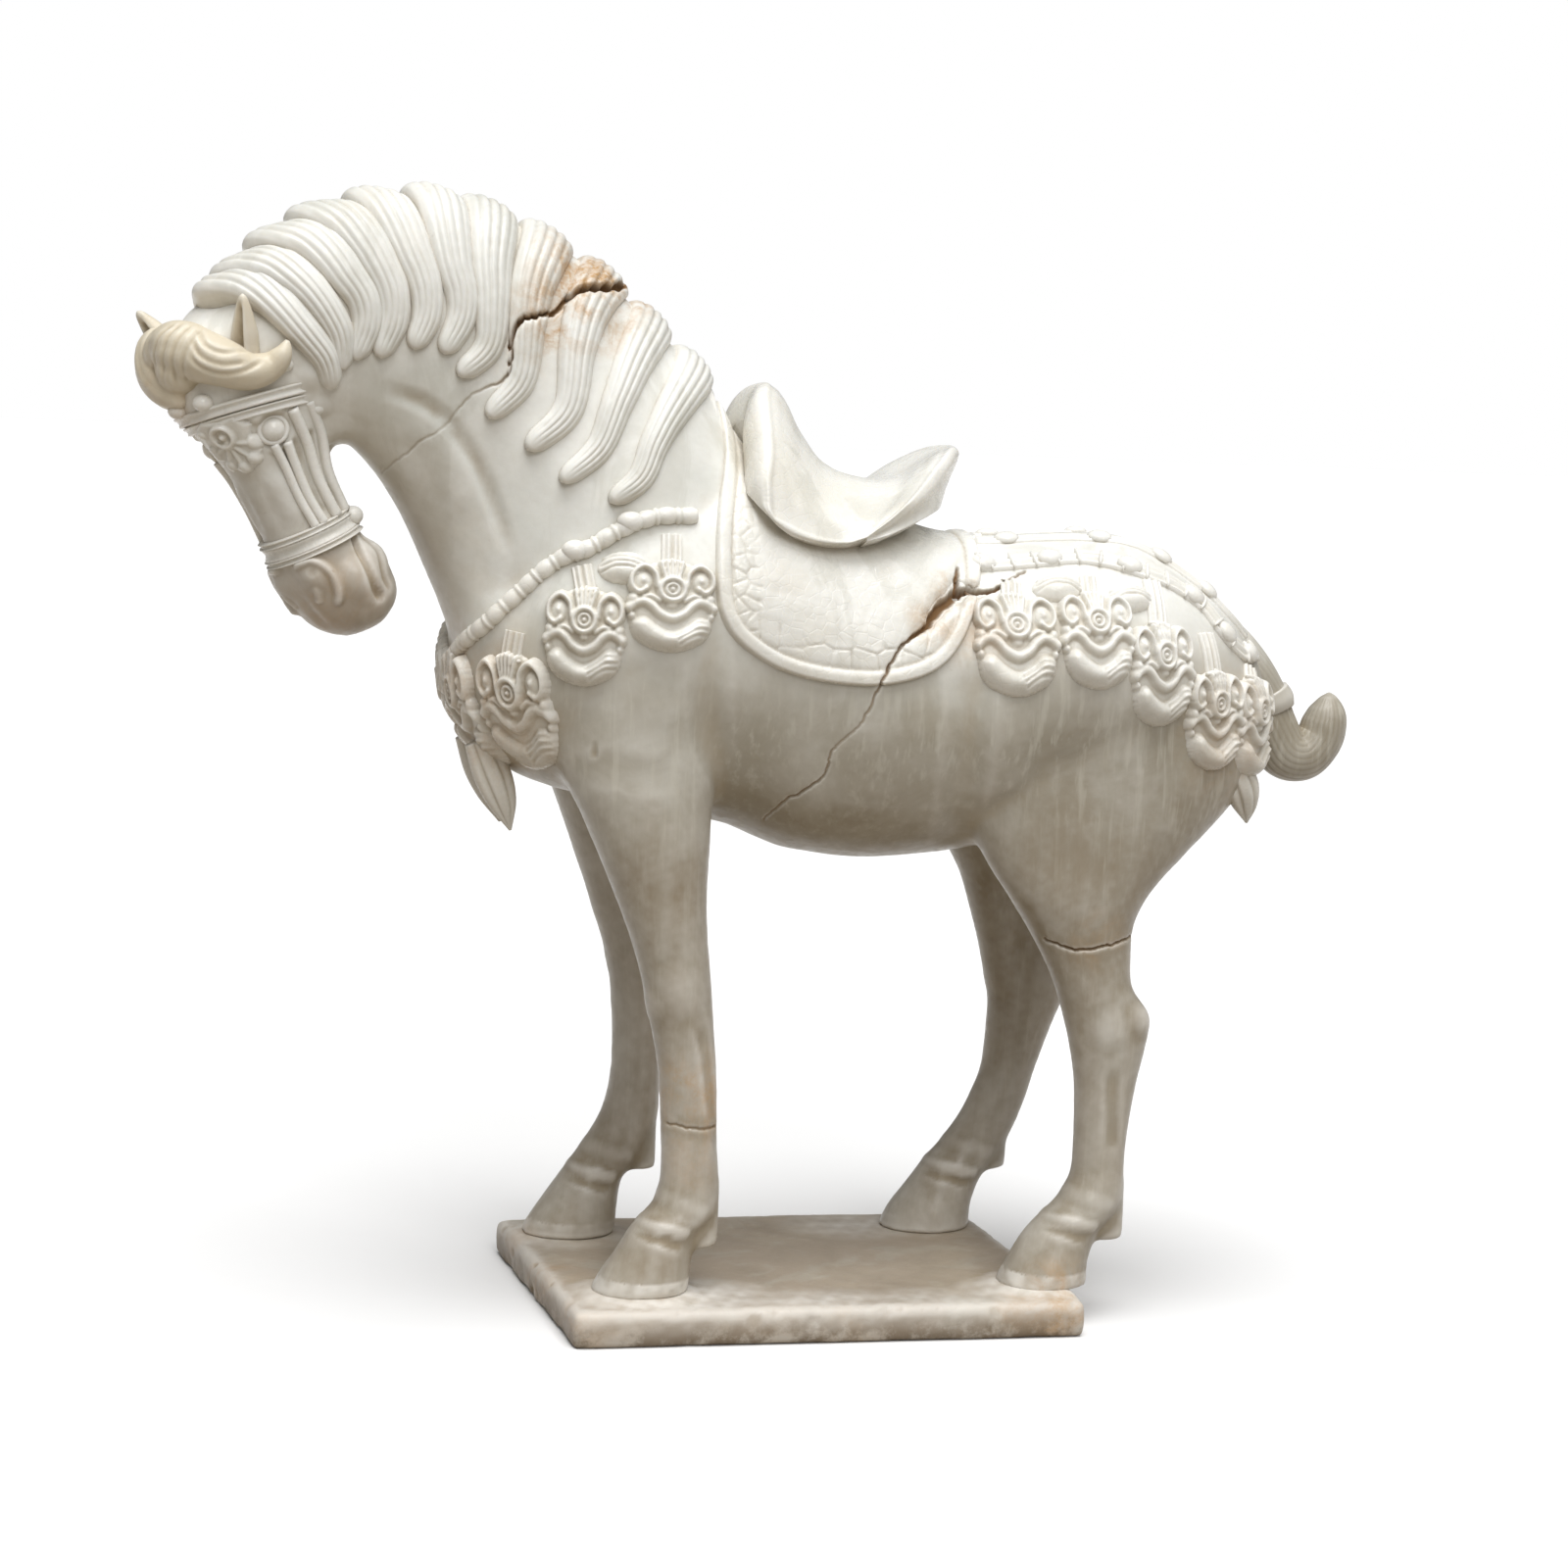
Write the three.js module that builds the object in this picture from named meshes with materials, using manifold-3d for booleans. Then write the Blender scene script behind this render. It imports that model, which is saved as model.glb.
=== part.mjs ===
// A carved and mended stone horse on a plinth, in the old Chinese tomb-figure style.
// Millimetres, +Z up. The head is at -X, the tail at +X, the near side at -Y.
// The origin is the middle of the plinth's underside.

import * as THREE from 'three';
import { mergeVertices } from 'three/addons/utils/BufferGeometryUtils.js';
import Module from 'manifold-3d';

const wasm = await Module();
wasm.setup();

// Driving dimensions

const plinthLength = 178;
const plinthWidth = 131;
const plinthHeight = 12.5;
const plinthSkew = 3;
const plinthEdge = 1.2;
const seatGap = 0.3;
const bodySides = 16;
const legSides = 10;
const reach = 90;

// Stations of the barrel: distance along the back, underside, topline and half width
const barrelStations = [
  [-124, 208, 246, 18],
  [-116, 195, 262, 31],
  [-100, 183, 278, 42],
  [-80, 177, 290, 47],
  [-55, 172, 297, 49],
  [-30, 168, 296, 50],
  [-5, 159, 284, 52],
  [20, 156.5, 276, 54],
  [50, 159, 269, 54],
  [80, 165, 271, 54],
  [105, 170, 272, 52],
  [130, 170, 262, 47],
  [148, 175, 248, 38],
  [160, 186, 232, 26],
  [166, 198, 216, 10],
];

// Stations of the neck: throat point, crest point, half width and lean to the near side
const neckStations = [
  [[-108, 200], [-22, 287], 44, 0],
  [[-124, 228], [-40, 317], 39, 0],
  [[-132, 247], [-60, 337], 34, 0],
  [[-140, 264], [-82, 355], 29, -2],
  [[-147, 276], [-108, 368], 26, -5],
  [[-154, 285], [-135, 375], 24, -9],
  [[-163, 293], [-162, 372], 22, -14],
  [[-174, 299], [-187, 360], 21, -18],
  [[-190, 306], [-206, 343], 18, -20],
];

// Stations of a leg: height, front, back, middle and half width
const nearForeStations = [
  [0.3, -77, -43, -40, 15],
  [5.5, -74, -42.5, -40, 14.5],
  [15.5, -67.5, -42, -40, 12.5],
  [21.5, -64, -41, -40, 11.5],
  [25.5, -61, -36, -40, 11],
  [31.5, -55.5, -33.3, -39.5, 9.5],
  [42.5, -53.6, -33.8, -39, 8.5],
  [72.5, -55.4, -35.3, -38, 9],
  [102.5, -61.2, -38, -37, 11],
  [117.5, -65.3, -39.5, -36, 12.5],
  [132.5, -71, -40.6, -35, 14.5],
  [162.5, -84.5, -39.2, -31, 20],
  [182.5, -94, -36, -28, 22],
  [207.5, -98, -32, -26, 22],
  [232.5, -92, -34, -22, 18],
];
const offForeStations = [
  [0.3, -87, -52, 42, 15],
  [5.5, -84, -52, 42, 14.5],
  [20.5, -74, -50.5, 42, 11.5],
  [25.5, -70.5, -46, 42, 11],
  [31.5, -66.5, -42, 41.5, 10],
  [47.5, -58.4, -37.9, 40.5, 8.5],
  [62.5, -56.1, -38, 40, 8.5],
  [92.5, -58.1, -38.5, 38, 10],
  [122.5, -67, -41.5, 36, 12.5],
  [137.5, -72.6, -42, 34.5, 15],
  [167.5, -85, -39, 31, 20],
  [187.5, -94, -36, 28, 22],
  [209.5, -98, -32, 26, 22],
  [232.5, -92, -34, 22, 18],
];
const nearHindStations = [
  [0.3, 66, 99, -40, 15],
  [5.5, 69, 98.5, -40, 14.5],
  [18.5, 76, 102, -40, 11.5],
  [25.5, 82.5, 108, -40, 11],
  [31.5, 88.3, 111, -40, 10],
  [42.5, 92.4, 110.9, -39.5, 8.5],
  [67.5, 91.9, 113.3, -39, 9],
  [85.5, 89, 117, -38.5, 11],
  [92.5, 87.2, 118, -38, 11.5],
  [107.5, 82, 110, -37.5, 12],
  [123.5, 73.5, 110, -36, 14.5],
  [132.5, 67.6, 113.5, -35, 17],
  [152.5, 55, 132, -31, 21],
  [165.5, 50, 145, -29, 23],
  [182.5, 52, 156, -27, 24],
  [202.5, 60, 158, -25, 24],
  [227.5, 75, 145, -20, 22],
  [245.5, 90, 130, -15, 15],
];
const offHindStations = [
  [0.3, 46.5, 81, 42, 15],
  [5.5, 49, 80.5, 42, 14.5],
  [18.5, 58, 84, 42, 11.5],
  [25.5, 63, 89, 42, 11],
  [31.5, 68.4, 93, 42, 10],
  [47.5, 77.8, 99.8, 41, 8.5],
  [62.5, 82.5, 103.6, 40, 8.5],
  [85.5, 83.5, 111.5, 39, 11],
  [92.5, 81.6, 114, 38.5, 11.5],
  [107.5, 78.1, 109, 37.5, 12],
  [123.5, 72.8, 111, 36, 14.5],
  [132.5, 69.5, 115, 35, 17],
  [152.5, 57, 133, 31, 21],
  [165.5, 51, 145, 29, 23],
  [182.5, 52, 156, 27, 24],
  [202.5, 60, 158, 25, 24],
  [227.5, 75, 145, 20, 22],
  [245.5, 90, 130, 15, 15],
];

// The head's pose: place of the poll, turn to the near side, tuck of the chin and tilt
const pollPlace = new THREE.Vector3(-214, -20, 337);
const headTurn = 40;
const headTuck = 22;
const headTilt = 15;

// Stations of the head, from the poll down to the lips: distance, front, back and half width
const headStations = [
  [1, 0, -20, 10],
  [8, 11, -28, 19],
  [18, 18, -33, 24],
  [29, 20, -36, 25],
  [46, 15, -31, 20.5],
  [60, 12, -21.5, 16.4],
  [74, 11, -16, 14.6],
  [89, 12, -18, 16],
  [98, 12, -23.5, 17.6],
  [109, 9, -23.5, 17],
  [116, 4, -21, 13],
  [120, -2, -14, 7],
];

// Eyes and mouth on the head: distance from the poll, angle from the near side and radius
const eyeDistance = 45;
const eyeAngle = 22;
const eyeRadius = 5.5;

// Fetlock tufts: leg place, back of the fetlock, middle, lowest and highest point
const tuftLength = 12;
const tuftHalfWidth = 5.5;
const tufts = [
  { back: -32.8, middle: -39.5, low: 28, high: 52 },
  { back: -38, middle: 41.5, low: 36, high: 58 },
  { back: 112, middle: -39.5, low: 28, high: 50 },
  { back: 94, middle: 41.5, low: 34.5, high: 52 },
];

// Lines of the old breaks, seen from the near side, and corners that close them round the head and tail
const neckBreak = [
  [-58, 362], [-72, 349], [-88, 346], [-98, 339], [-108, 336], [-112, 330],
  [-113.5, 318], [-124, 312.5], [-131, 303], [-140, 296], [-148, 289], [-155, 281],
];
const barrelBreak = [
  [74, 300], [70, 270], [66.5, 259], [52.5, 252.7], [43.5, 253], [37.5, 250], [27.5, 241],
  [19.5, 235], [11.5, 222], [6, 208.5], [-3, 198], [-4, 190], [-15, 179.5], [-19, 170], [-24, 140],
];
const headCorners = [[-150.5, 268], [-142.5, 252], [-141, 200], [-260, 200], [-260, 420], [-58, 420]];
const tailCorners = [[-10, -10], [260, -10], [260, 320], [74, 320]];
const foreLegBreak = [[-100, 72], [-51, 70.3], [-43.7, 69.5], [-15, 70.5]];
const hindLegBreak = [[50, 138], [76.6, 134.3], [84, 132], [93.6, 132], [104.3, 134.4], [130, 137]];

// Pins that hold the mended pieces together
const boreClearance = 0.3;
const pinSides = 8;
const pins = [
  { name: 'neck_dowel', middle: [-112, -3, 320], along: [-0.62, 0, 0.78], radius: 5, length: 56 },
  { name: 'barrel_dowel_near', middle: [16, -22, 222], along: [0.72, 0, -0.7], radius: 5, length: 60 },
  { name: 'barrel_dowel_off', middle: [16, 22, 222], along: [0.72, 0, -0.7], radius: 5, length: 60 },
  { name: 'near_fore_dowel', middle: [-44.6, -38.4, 70], along: [0, 0, 1], radius: 3, length: 36 },
  { name: 'near_hind_dowel', middle: [94, -37, 132], along: [0, 0, 1], radius: 4, length: 40 },
  { name: 'hoof_dowel_near_fore', middle: [-56, -40, 18], along: [0, 0, 1], radius: 3, length: 26 },
  { name: 'hoof_dowel_off_fore', middle: [-66, 42, 18], along: [0, 0, 1], radius: 3, length: 26 },
  { name: 'hoof_dowel_near_hind', middle: [86, -40, 18], along: [0, 0, 1], radius: 3, length: 26 },
  { name: 'hoof_dowel_off_hind', middle: [67, 42, 18], along: [0, 0, 1], radius: 3, length: 26 },
];

// Mane locks, from the crest down the near side to the tip
const lockHalfWidth = 8.5;
const lockThickness = 4.2;
const lockSides = 6;
const rootDrop = 20;
const maneLocks = [
  [[-210, 338], [-197, 344], [-184, 333], [-173, 321], [-167, 311]],
  [[-201, 352], [-188, 350], [-178, 342], [-170, 331], [-164, 317]],
  [[-189, 362], [-178, 359], [-168, 349], [-161, 338], [-160, 320]],
  [[-175, 370], [-165, 364], [-157, 353], [-152, 341], [-152, 321]],
  [[-156, 376], [-151, 368], [-146, 357], [-141, 343], [-141, 324]],
  [[-136, 378], [-134, 367], [-132, 354], [-129, 341], [-131, 323]],
  [[-117, 374], [-119, 358], [-119, 342], [-120, 326], [-126, 316]],
  [[-97, 365], [-104, 351], [-107, 335], [-109, 316], [-116, 303]],
  [[-76, 354], [-85, 343], [-90, 328], [-93, 308], [-103, 293]],
  [[-59, 340], [-68, 328], [-76, 312], [-83, 295], [-92, 283]],
  [[-45, 324], [-55, 312], [-64, 298], [-69, 285], [-76, 277]],
];
const bedDepth = 1.8;
const bedOutline = [
  [-212, 345], [-206, 333], [-190, 337], [-172, 328], [-160, 333], [-148, 336], [-130, 334],
  [-112, 322], [-95, 312], [-80, 302], [-66, 296], [-52, 303], [-36, 306], [-36, 345],
  [-90, 385], [-150, 395], [-205, 375],
];

// Forelock, ears and tail: middle line and radius at each step
const forelockSides = 7;
const tailSides = 10;
const tailFlatten = 0.9;
const foreheadTuft = [
  [-225, -6, 325, 4], [-226, -10, 320, 7.5], [-225, -14, 313.5, 8.6], [-221, -19, 306, 7.5],
  [-216, -23, 300, 4],
];
const forelockCrescent = [
  [-221, -16, 324, 4.5], [-216, -24, 319.5, 7.4], [-209, -31, 314, 8.2], [-201, -37, 311.5, 8],
  [-194, -40, 313, 7], [-189, -41.5, 318, 5.2], [-187, -42, 323, 2.6],
];
const topknot = { middle: [-219, -11, 317], radius: 11 };
const nearEar = { root: [-199, -38, 322], tip: [-201, -42.5, 340.5], halfWidth: 5, thickness: 3.4 };
const offEar = { root: [-218, -4, 319], tip: [-231.5, -4, 333.8], halfWidth: 5.5, thickness: 3.6 };
const tailLine = [
  [150, 0, 234, 8], [160, 0, 227, 8.8], [168, 0, 216.5, 9], [172, 0, 205, 9.2], [177, 0, 196, 9.6],
  [184.5, 0, 194.5, 9.3], [190.3, 0, 200, 8.8], [192.2, 0, 206.5, 8.2], [193.4, 0, 212.5, 5.6],
];

// Saddle cloth: place of the seat, thickness, front and back edge, how far the cloth hangs below the
// back at the seat and its outline reaches above the back, height of its straight sides above the
// lower edge, and how the outline leans and swells
const seatPlace = 20;
const clothThickness = 3.2;
const clothFront = -44;
const clothBack = 52;
const clothDrop = 55.5;
const clothOver = 23;
const clothSkirt = 44;
const clothSlope = 6;
const clothBulge = 3;
const clothCorner = 8;

// Saddle: depth of its foot below the back, and from its foot up the place along the back, rise and
// half width, and the lower edge of its flaps
const saddleDrop = 14;
const saddleStations = [
  [-30, 43, 36], [-25.5, 53.5, 37], [-20.5, 57, 38], [-15, 52, 40], [-7, 39.5, 43], [2, 30, 45],
  [13, 26.2, 45.5], [22, 25.5, 45], [30, 29, 44], [39, 34, 42], [46, 37, 40], [51, 35, 38],
];
const saddleFlap = [
  [-31, 68], [-29.5, 22], [-25, 10], [-17, 5.5], [-6, 3.5], [5, 4], [15, 6.6],
  [27, 12.5], [38, 19], [46, 22], [53, 38], [53, 68],
];

// Straps over the stone: half width, how far they stand proud, and their lines
const strapHalfWidth = 3.6;
const strapProud = 2.6;
const strapSides = 5;
const breastLine = [
  [-123.5, -8, 224.5], [-121.5, -18, 229], [-116.5, -29, 237], [-110, -32, 244], [-103, -35, 252],
  [-95, -37, 259], [-86, -39, 263], [-74, -39.5, 270], [-63, -38.5, 273.5], [-52, -38, 275],
];
const crupperLine = [
  [74, -28, 263], [87, -27, 264], [97, -29, 263], [109, -32, 260], [120, -31, 256], [131, -31, 249],
  [138, -33, 240], [146, -28, 233], [152, -17, 233],
];

// Bridle
const browbandPlace = [31, 37];
const nosebandPlace = [81, 87.5];
const bridleProud = 1.8;
const cheekStrapPlace = { angle: 28, from: 53, to: 79, halfWidth: 4.2 };
const plaquePlace = { distance: 43, angle: 80, width: 17, height: 19 };

// Hanging ornaments on the near side: name, place on the stone, outward direction, width and height
const ornamentProud = 4.2;
const ornamentPlate = 2.3;
const ornamentSink = 7;
const ornamentSides = 10;
const ornamentLobes = 5;
const tasselProud = 3.4;
const breastOrnaments = [
  { name: 'breast_pendant_1', at: [-59.5, -48, 244], out: [-0.05, -0.97, 0.2], width: 30, height: 32 },
  { name: 'breast_pendant_2', at: [-89, -45, 235], out: [-0.28, -0.94, 0.1], width: 28, height: 34 },
  { name: 'breast_pendant_3', at: [-107, -33, 208], out: [-0.7, -0.7, -0.05], width: 24, height: 40 },
  { name: 'breast_pendant_4', at: [-121, -11, 206], out: [-0.95, -0.3, -0.1], width: 21, height: 42 },
];

// Tongue that hangs below the last breast pendant: middle line and radius at each step
const breastTongue = [[-115, -11, 193, 6.5], [-110, -11, 182, 6.5], [-106.5, -11, 173, 5], [-104.2, -11, 166.5, 1.6]];
const rumpOrnaments = [
  { name: 'rump_pendant_1', at: [61, -49.5, 236], out: [0, -0.95, 0.3], width: 29, height: 35 },
  { name: 'rump_pendant_2', at: [90, -49, 238], out: [0.05, -0.94, 0.33], width: 25, height: 33 },
  { name: 'rump_pendant_3', at: [112.5, -50, 226], out: [0.28, -0.93, 0.2], width: 23, height: 36 },
  { name: 'rump_pendant_4', at: [131, -46, 210], out: [0.45, -0.88, 0.05], width: 22, height: 33 },
  { name: 'rump_pendant_5', at: [149, -36, 208], out: [0.75, -0.66, 0], width: 20, height: 34 },
  { name: 'rump_pendant_6', at: [149, -35, 184], out: [0.62, -0.72, -0.25], width: 17, height: 28 },
];
const tassels = [
  { name: 'breast_tassel', at: [-75, -43, 257], out: [-0.1, -0.95, 0.28], width: 14, height: 10 },
  { name: 'rump_tassel_1', at: [76, -39, 254], out: [0, -0.75, 0.66], width: 15, height: 9 },
  { name: 'rump_tassel_2', at: [101, -41, 251], out: [0.1, -0.8, 0.6], width: 13, height: 9 },
];

// Solids from triangles

function toManifold(positions, triangles) {
  const mesh = new wasm.Mesh({
    numProp: 3,
    vertProperties: new Float32Array(positions),
    triVerts: new Uint32Array(triangles),
  });
  return new wasm.Manifold(mesh);
}

function facingOut(positions, triangles) {
  const corner = (k) => new THREE.Vector3().fromArray(positions, 3 * triangles[k]);
  let volume = 0;
  for (let k = 0; k < triangles.length; k += 3) {
    volume += corner(k).dot(corner(k + 1).cross(corner(k + 2)));
  }
  if (volume < 0) {
    for (let k = 0; k < triangles.length; k += 3) {
      [triangles[k], triangles[k + 1]] = [triangles[k + 1], triangles[k]];
    }
  }
  return toManifold(positions, triangles);
}

function solidFrom(geometry) {
  const bare = geometry.clone();
  bare.deleteAttribute('normal');
  bare.deleteAttribute('uv');
  const merged = mergeVertices(bare, 1e-4);
  return facingOut(Array.from(merged.attributes.position.array), Array.from(merged.index.array));
}

function geometryOf(solid) {
  const mesh = solid.getMesh();
  const geometry = new THREE.BufferGeometry();
  geometry.setAttribute('position', new THREE.BufferAttribute(mesh.vertProperties, 3));
  geometry.setIndex(new THREE.BufferAttribute(mesh.triVerts, 1));
  geometry.computeVertexNormals();
  return geometry;
}

// The largest of a solid's separate bodies, without the slivers that a cut can leave
function mainBody(geometry) {
  const index = geometry.index.array;
  const owner = Array.from({ length: geometry.attributes.position.count }, (_, i) => i);
  const find = (i) => {
    let root = i;
    while (owner[root] !== root) {
      root = owner[root];
    }
    owner[i] = root;
    return root;
  };
  for (let k = 0; k < index.length; k += 3) {
    owner[find(index[k + 1])] = find(index[k]);
    owner[find(index[k + 2])] = find(index[k]);
  }
  const groups = new Map();
  for (let k = 0; k < index.length; k += 3) {
    const root = find(index[k]);
    groups.set(root, [...(groups.get(root) ?? []), index[k], index[k + 1], index[k + 2]]);
  }
  const largest = [...groups.values()].sort((a, b) => b.length - a.length)[0];
  geometry.setIndex(largest);
  return geometry;
}

function join(solids) {
  return solids.reduce((whole, next) => whole.add(next));
}

// Rings and lofts

function ellipseRing(centre, across, up, sides) {
  const ring = [];
  for (let i = 0; i < sides; i += 1) {
    const angle = (2 * Math.PI * i) / sides;
    const point = centre.clone();
    point.addScaledVector(across, Math.cos(angle));
    point.addScaledVector(up, Math.sin(angle));
    ring.push(point);
  }
  return ring;
}

function loft(rings) {
  const sides = rings[0].length;
  const positions = [];
  const triangles = [];
  for (const point of rings.flat()) {
    positions.push(point.x, point.y, point.z);
  }
  for (let r = 0; r + 1 < rings.length; r += 1) {
    for (let i = 0; i < sides; i += 1) {
      const a = r * sides + i;
      const b = r * sides + ((i + 1) % sides);
      triangles.push(a, b, b + sides);
      triangles.push(a, b + sides, a + sides);
    }
  }
  const first = rings.length * sides;
  const last = first + 1;
  const top = (rings.length - 1) * sides;
  for (const ring of [rings[0], rings[rings.length - 1]]) {
    const middle = new THREE.Vector3();
    ring.forEach((point) => middle.addScaledVector(point, 1 / sides));
    positions.push(middle.x, middle.y, middle.z);
  }
  for (let i = 0; i < sides; i += 1) {
    const next = (i + 1) % sides;
    triangles.push(first, next, i);
    triangles.push(last, top + i, top + next);
  }
  return facingOut(positions, triangles);
}

// A round rope through points that each carry a radius
function roundLoft(line, sides, grow, flatten = 1) {
  const points = line.map(([x, y, z]) => new THREE.Vector3(x, y, z));
  const rings = points.map((point, k) => {
    const before = points[Math.max(k - 1, 0)];
    const after = points[Math.min(k + 1, points.length - 1)];
    const tangent = after.clone().sub(before).normalize();
    const side = new THREE.Vector3(0, 1, 0).addScaledVector(tangent, -tangent.y).normalize();
    const up = tangent.clone().cross(side);
    const radius = line[k][3] + grow;
    return ellipseRing(point, side.multiplyScalar(radius * flatten), up.multiplyScalar(radius), sides);
  });
  return loft(rings);
}

// A prism with its outline in the side view, reaching across the horse
function sidePrism(outline, nearY, offY) {
  const shape = new THREE.Shape(outline.map(([x, z]) => new THREE.Vector2(x, z)));
  const geometry = new THREE.ExtrudeGeometry(shape, { depth: offY - nearY, bevelEnabled: false });
  geometry.rotateX(Math.PI / 2);
  geometry.translate(0, offY, 0);
  return solidFrom(geometry);
}

// The stone horse

function barrel(grow) {
  const rings = barrelStations.map(([x, low, high, half]) => ellipseRing(
    new THREE.Vector3(x, 0, (low + high) / 2),
    new THREE.Vector3(0, half + grow, 0),
    new THREE.Vector3(0, 0, (high - low) / 2 + grow),
    bodySides,
  ));
  return loft(rings);
}

function neck(grow) {
  const rings = neckStations.map(([throat, crest, half, lean]) => {
    const low = new THREE.Vector3(throat[0], lean, throat[1]);
    const high = new THREE.Vector3(crest[0], lean, crest[1]);
    const up = high.clone().sub(low).multiplyScalar(0.5);
    const middle = low.clone().add(up);
    up.setLength(up.length() + grow);
    return ellipseRing(middle, new THREE.Vector3(0, half + grow, 0), up, bodySides);
  });
  return loft(rings);
}

function headAxes() {
  const turn = THREE.MathUtils.degToRad(headTurn);
  const tuck = THREE.MathUtils.degToRad(headTuck);
  const tilt = THREE.MathUtils.degToRad(headTilt);
  const ahead = new THREE.Vector3(-Math.cos(turn), -Math.sin(turn), 0);
  const side = new THREE.Vector3(Math.sin(turn), -Math.cos(turn), 0);
  const zenith = new THREE.Vector3(0, 0, 1);
  const face = ahead.clone().multiplyScalar(Math.cos(tuck)).addScaledVector(zenith, -Math.sin(tuck));
  const level = zenith.clone().multiplyScalar(-Math.cos(tuck)).addScaledVector(ahead, -Math.sin(tuck));
  const down = level.clone().multiplyScalar(Math.cos(tilt)).addScaledVector(side, Math.sin(tilt));
  const near = side.clone().multiplyScalar(Math.cos(tilt)).addScaledVector(level, -Math.sin(tilt));
  return { face, down, near };
}

const { face, down, near } = headAxes();

function headSection(distance) {
  const last = headStations.length - 1;
  const above = Math.max(0, headStations.findLastIndex(([place]) => place <= distance));
  const below = Math.min(last, above + 1);
  const [start, ...from] = headStations[above];
  const [end, ...to] = headStations[below];
  const share = above === below ? 0 : THREE.MathUtils.clamp((distance - start) / (end - start), 0, 1);
  const [front, back, half] = from.map((value, k) => THREE.MathUtils.lerp(value, to[k], share));
  const middle = pollPlace.clone().addScaledVector(down, distance);
  middle.addScaledVector(face, (front + back) / 2);
  return { middle, half, depth: (front - back) / 2 };
}

function head(grow) {
  const rings = headStations.map(([distance]) => {
    const { middle, half, depth } = headSection(distance);
    const across = near.clone().multiplyScalar(half + grow);
    return ellipseRing(middle, across, face.clone().multiplyScalar(depth + grow), bodySides);
  });
  return loft(rings);
}

// A point on the head at a distance from the poll, and the outward direction there
function headPoint(distance, degrees) {
  const { middle, half, depth } = headSection(distance);
  const angle = THREE.MathUtils.degToRad(degrees);
  const point = middle.clone();
  point.addScaledVector(near, half * Math.cos(angle));
  point.addScaledVector(face, depth * Math.sin(angle));
  const out = near.clone().multiplyScalar(Math.cos(angle) / half);
  out.addScaledVector(face, Math.sin(angle) / depth).normalize();
  return { point, out };
}

function ball(middle, radius) {
  const geometry = new THREE.SphereGeometry(radius, 8, 6);
  geometry.translate(middle.x, middle.y, middle.z);
  return solidFrom(geometry);
}

function eyes(grow) {
  const places = [eyeAngle, 180 - eyeAngle].map((angle) => headPoint(eyeDistance, angle));
  return join(places.map(({ point, out }) => ball(point.addScaledVector(out, -2.5), eyeRadius + grow)));
}

function leg(stations, grow) {
  const rings = stations.map(([height, front, back, middle, half], k) => ellipseRing(
    new THREE.Vector3((front + back) / 2, middle, plinthHeight + height - (k === 0 ? grow : 0)),
    new THREE.Vector3((back - front) / 2 + grow, 0, 0),
    new THREE.Vector3(0, half + grow, 0),
    legSides,
  ));
  return loft(rings);
}

function tuft({ back, middle, low, high }, grow) {
  const steps = [
    [low - grow, tuftLength / 2, tuftHalfWidth],
    [(low + high) / 2, tuftLength / 2, tuftHalfWidth * 0.9],
    [high + grow, tuftLength / 3, tuftHalfWidth * 0.5],
  ];
  return loft(steps.map(([height, half, width]) => ellipseRing(
    new THREE.Vector3(back - half, middle, height),
    new THREE.Vector3(half + grow, 0, 0),
    new THREE.Vector3(0, width + grow, 0),
    8,
  )));
}

function wholeBody(grow) {
  const legs = [nearForeStations, offForeStations, nearHindStations, offHindStations];
  return join([
    barrel(grow),
    neck(grow),
    head(grow),
    eyes(grow),
    ...legs.map((stations) => leg(stations, grow)),
    ...tufts.map((place) => tuft(place, grow)),
  ]);
}

const stone = wholeBody(0);
const stoneWithGap = wholeBody(seatGap);

// Breaks and pins

function offsetLine(line, distance) {
  return line.map(([x, z], k) => {
    const [x0, z0] = line[Math.max(k - 1, 0)];
    const [x1, z1] = line[Math.min(k + 1, line.length - 1)];
    const length = Math.hypot(x1 - x0, z1 - z0);
    return [x - (distance * (z1 - z0)) / length, z + (distance * (x1 - x0)) / length];
  });
}

// The side of a break that the corners lie on, half a gap back from the break
function breakSide(line, corners, distance) {
  return sidePrism([...offsetLine(line, distance), ...corners], -reach, reach);
}

const halfGap = seatGap / 2;
const headSide = breakSide(neckBreak, headCorners, -halfGap);
const notHeadSide = breakSide(neckBreak, headCorners, halfGap);
const tailSide = breakSide(barrelBreak, tailCorners, halfGap);
const notTailSide = breakSide(barrelBreak, tailCorners, -halfGap);

// The part of a leg below its break
function belowBreak(line, distance) {
  const from = line[0][0];
  const to = line[line.length - 1][0];
  return sidePrism([...offsetLine(line, distance), [to, 0], [from, 0]], -reach, 0);
}

const lowerFore = belowBreak(foreLegBreak, -halfGap);
const notLowerFore = belowBreak(foreLegBreak, halfGap);
const lowerHind = belowBreak(hindLegBreak, -halfGap);
const notLowerHind = belowBreak(hindLegBreak, halfGap);

function pin({ middle, along, radius, length }, grow) {
  const geometry = new THREE.CylinderGeometry(radius + grow, radius + grow, length + 2 * grow, pinSides);
  const direction = new THREE.Vector3(...along).normalize();
  geometry.applyQuaternion(new THREE.Quaternion().setFromUnitVectors(new THREE.Vector3(0, 1, 0), direction));
  geometry.translate(...middle);
  return solidFrom(geometry);
}

const bores = join(pins.map((place) => pin(place, boreClearance)));

function fragments() {
  const bored = stone.subtract(bores);
  const rest = bored.subtract(notHeadSide);
  const front = rest.subtract(notTailSide);
  const rear = rest.intersect(tailSide);
  return {
    head_and_neck: bored.intersect(headSide),
    forequarters: front.subtract(notLowerFore),
    hindquarters: rear.subtract(notLowerHind),
    near_foreleg_lower: front.intersect(lowerFore),
    near_hind_leg_lower: rear.intersect(lowerHind),
  };
}

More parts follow.
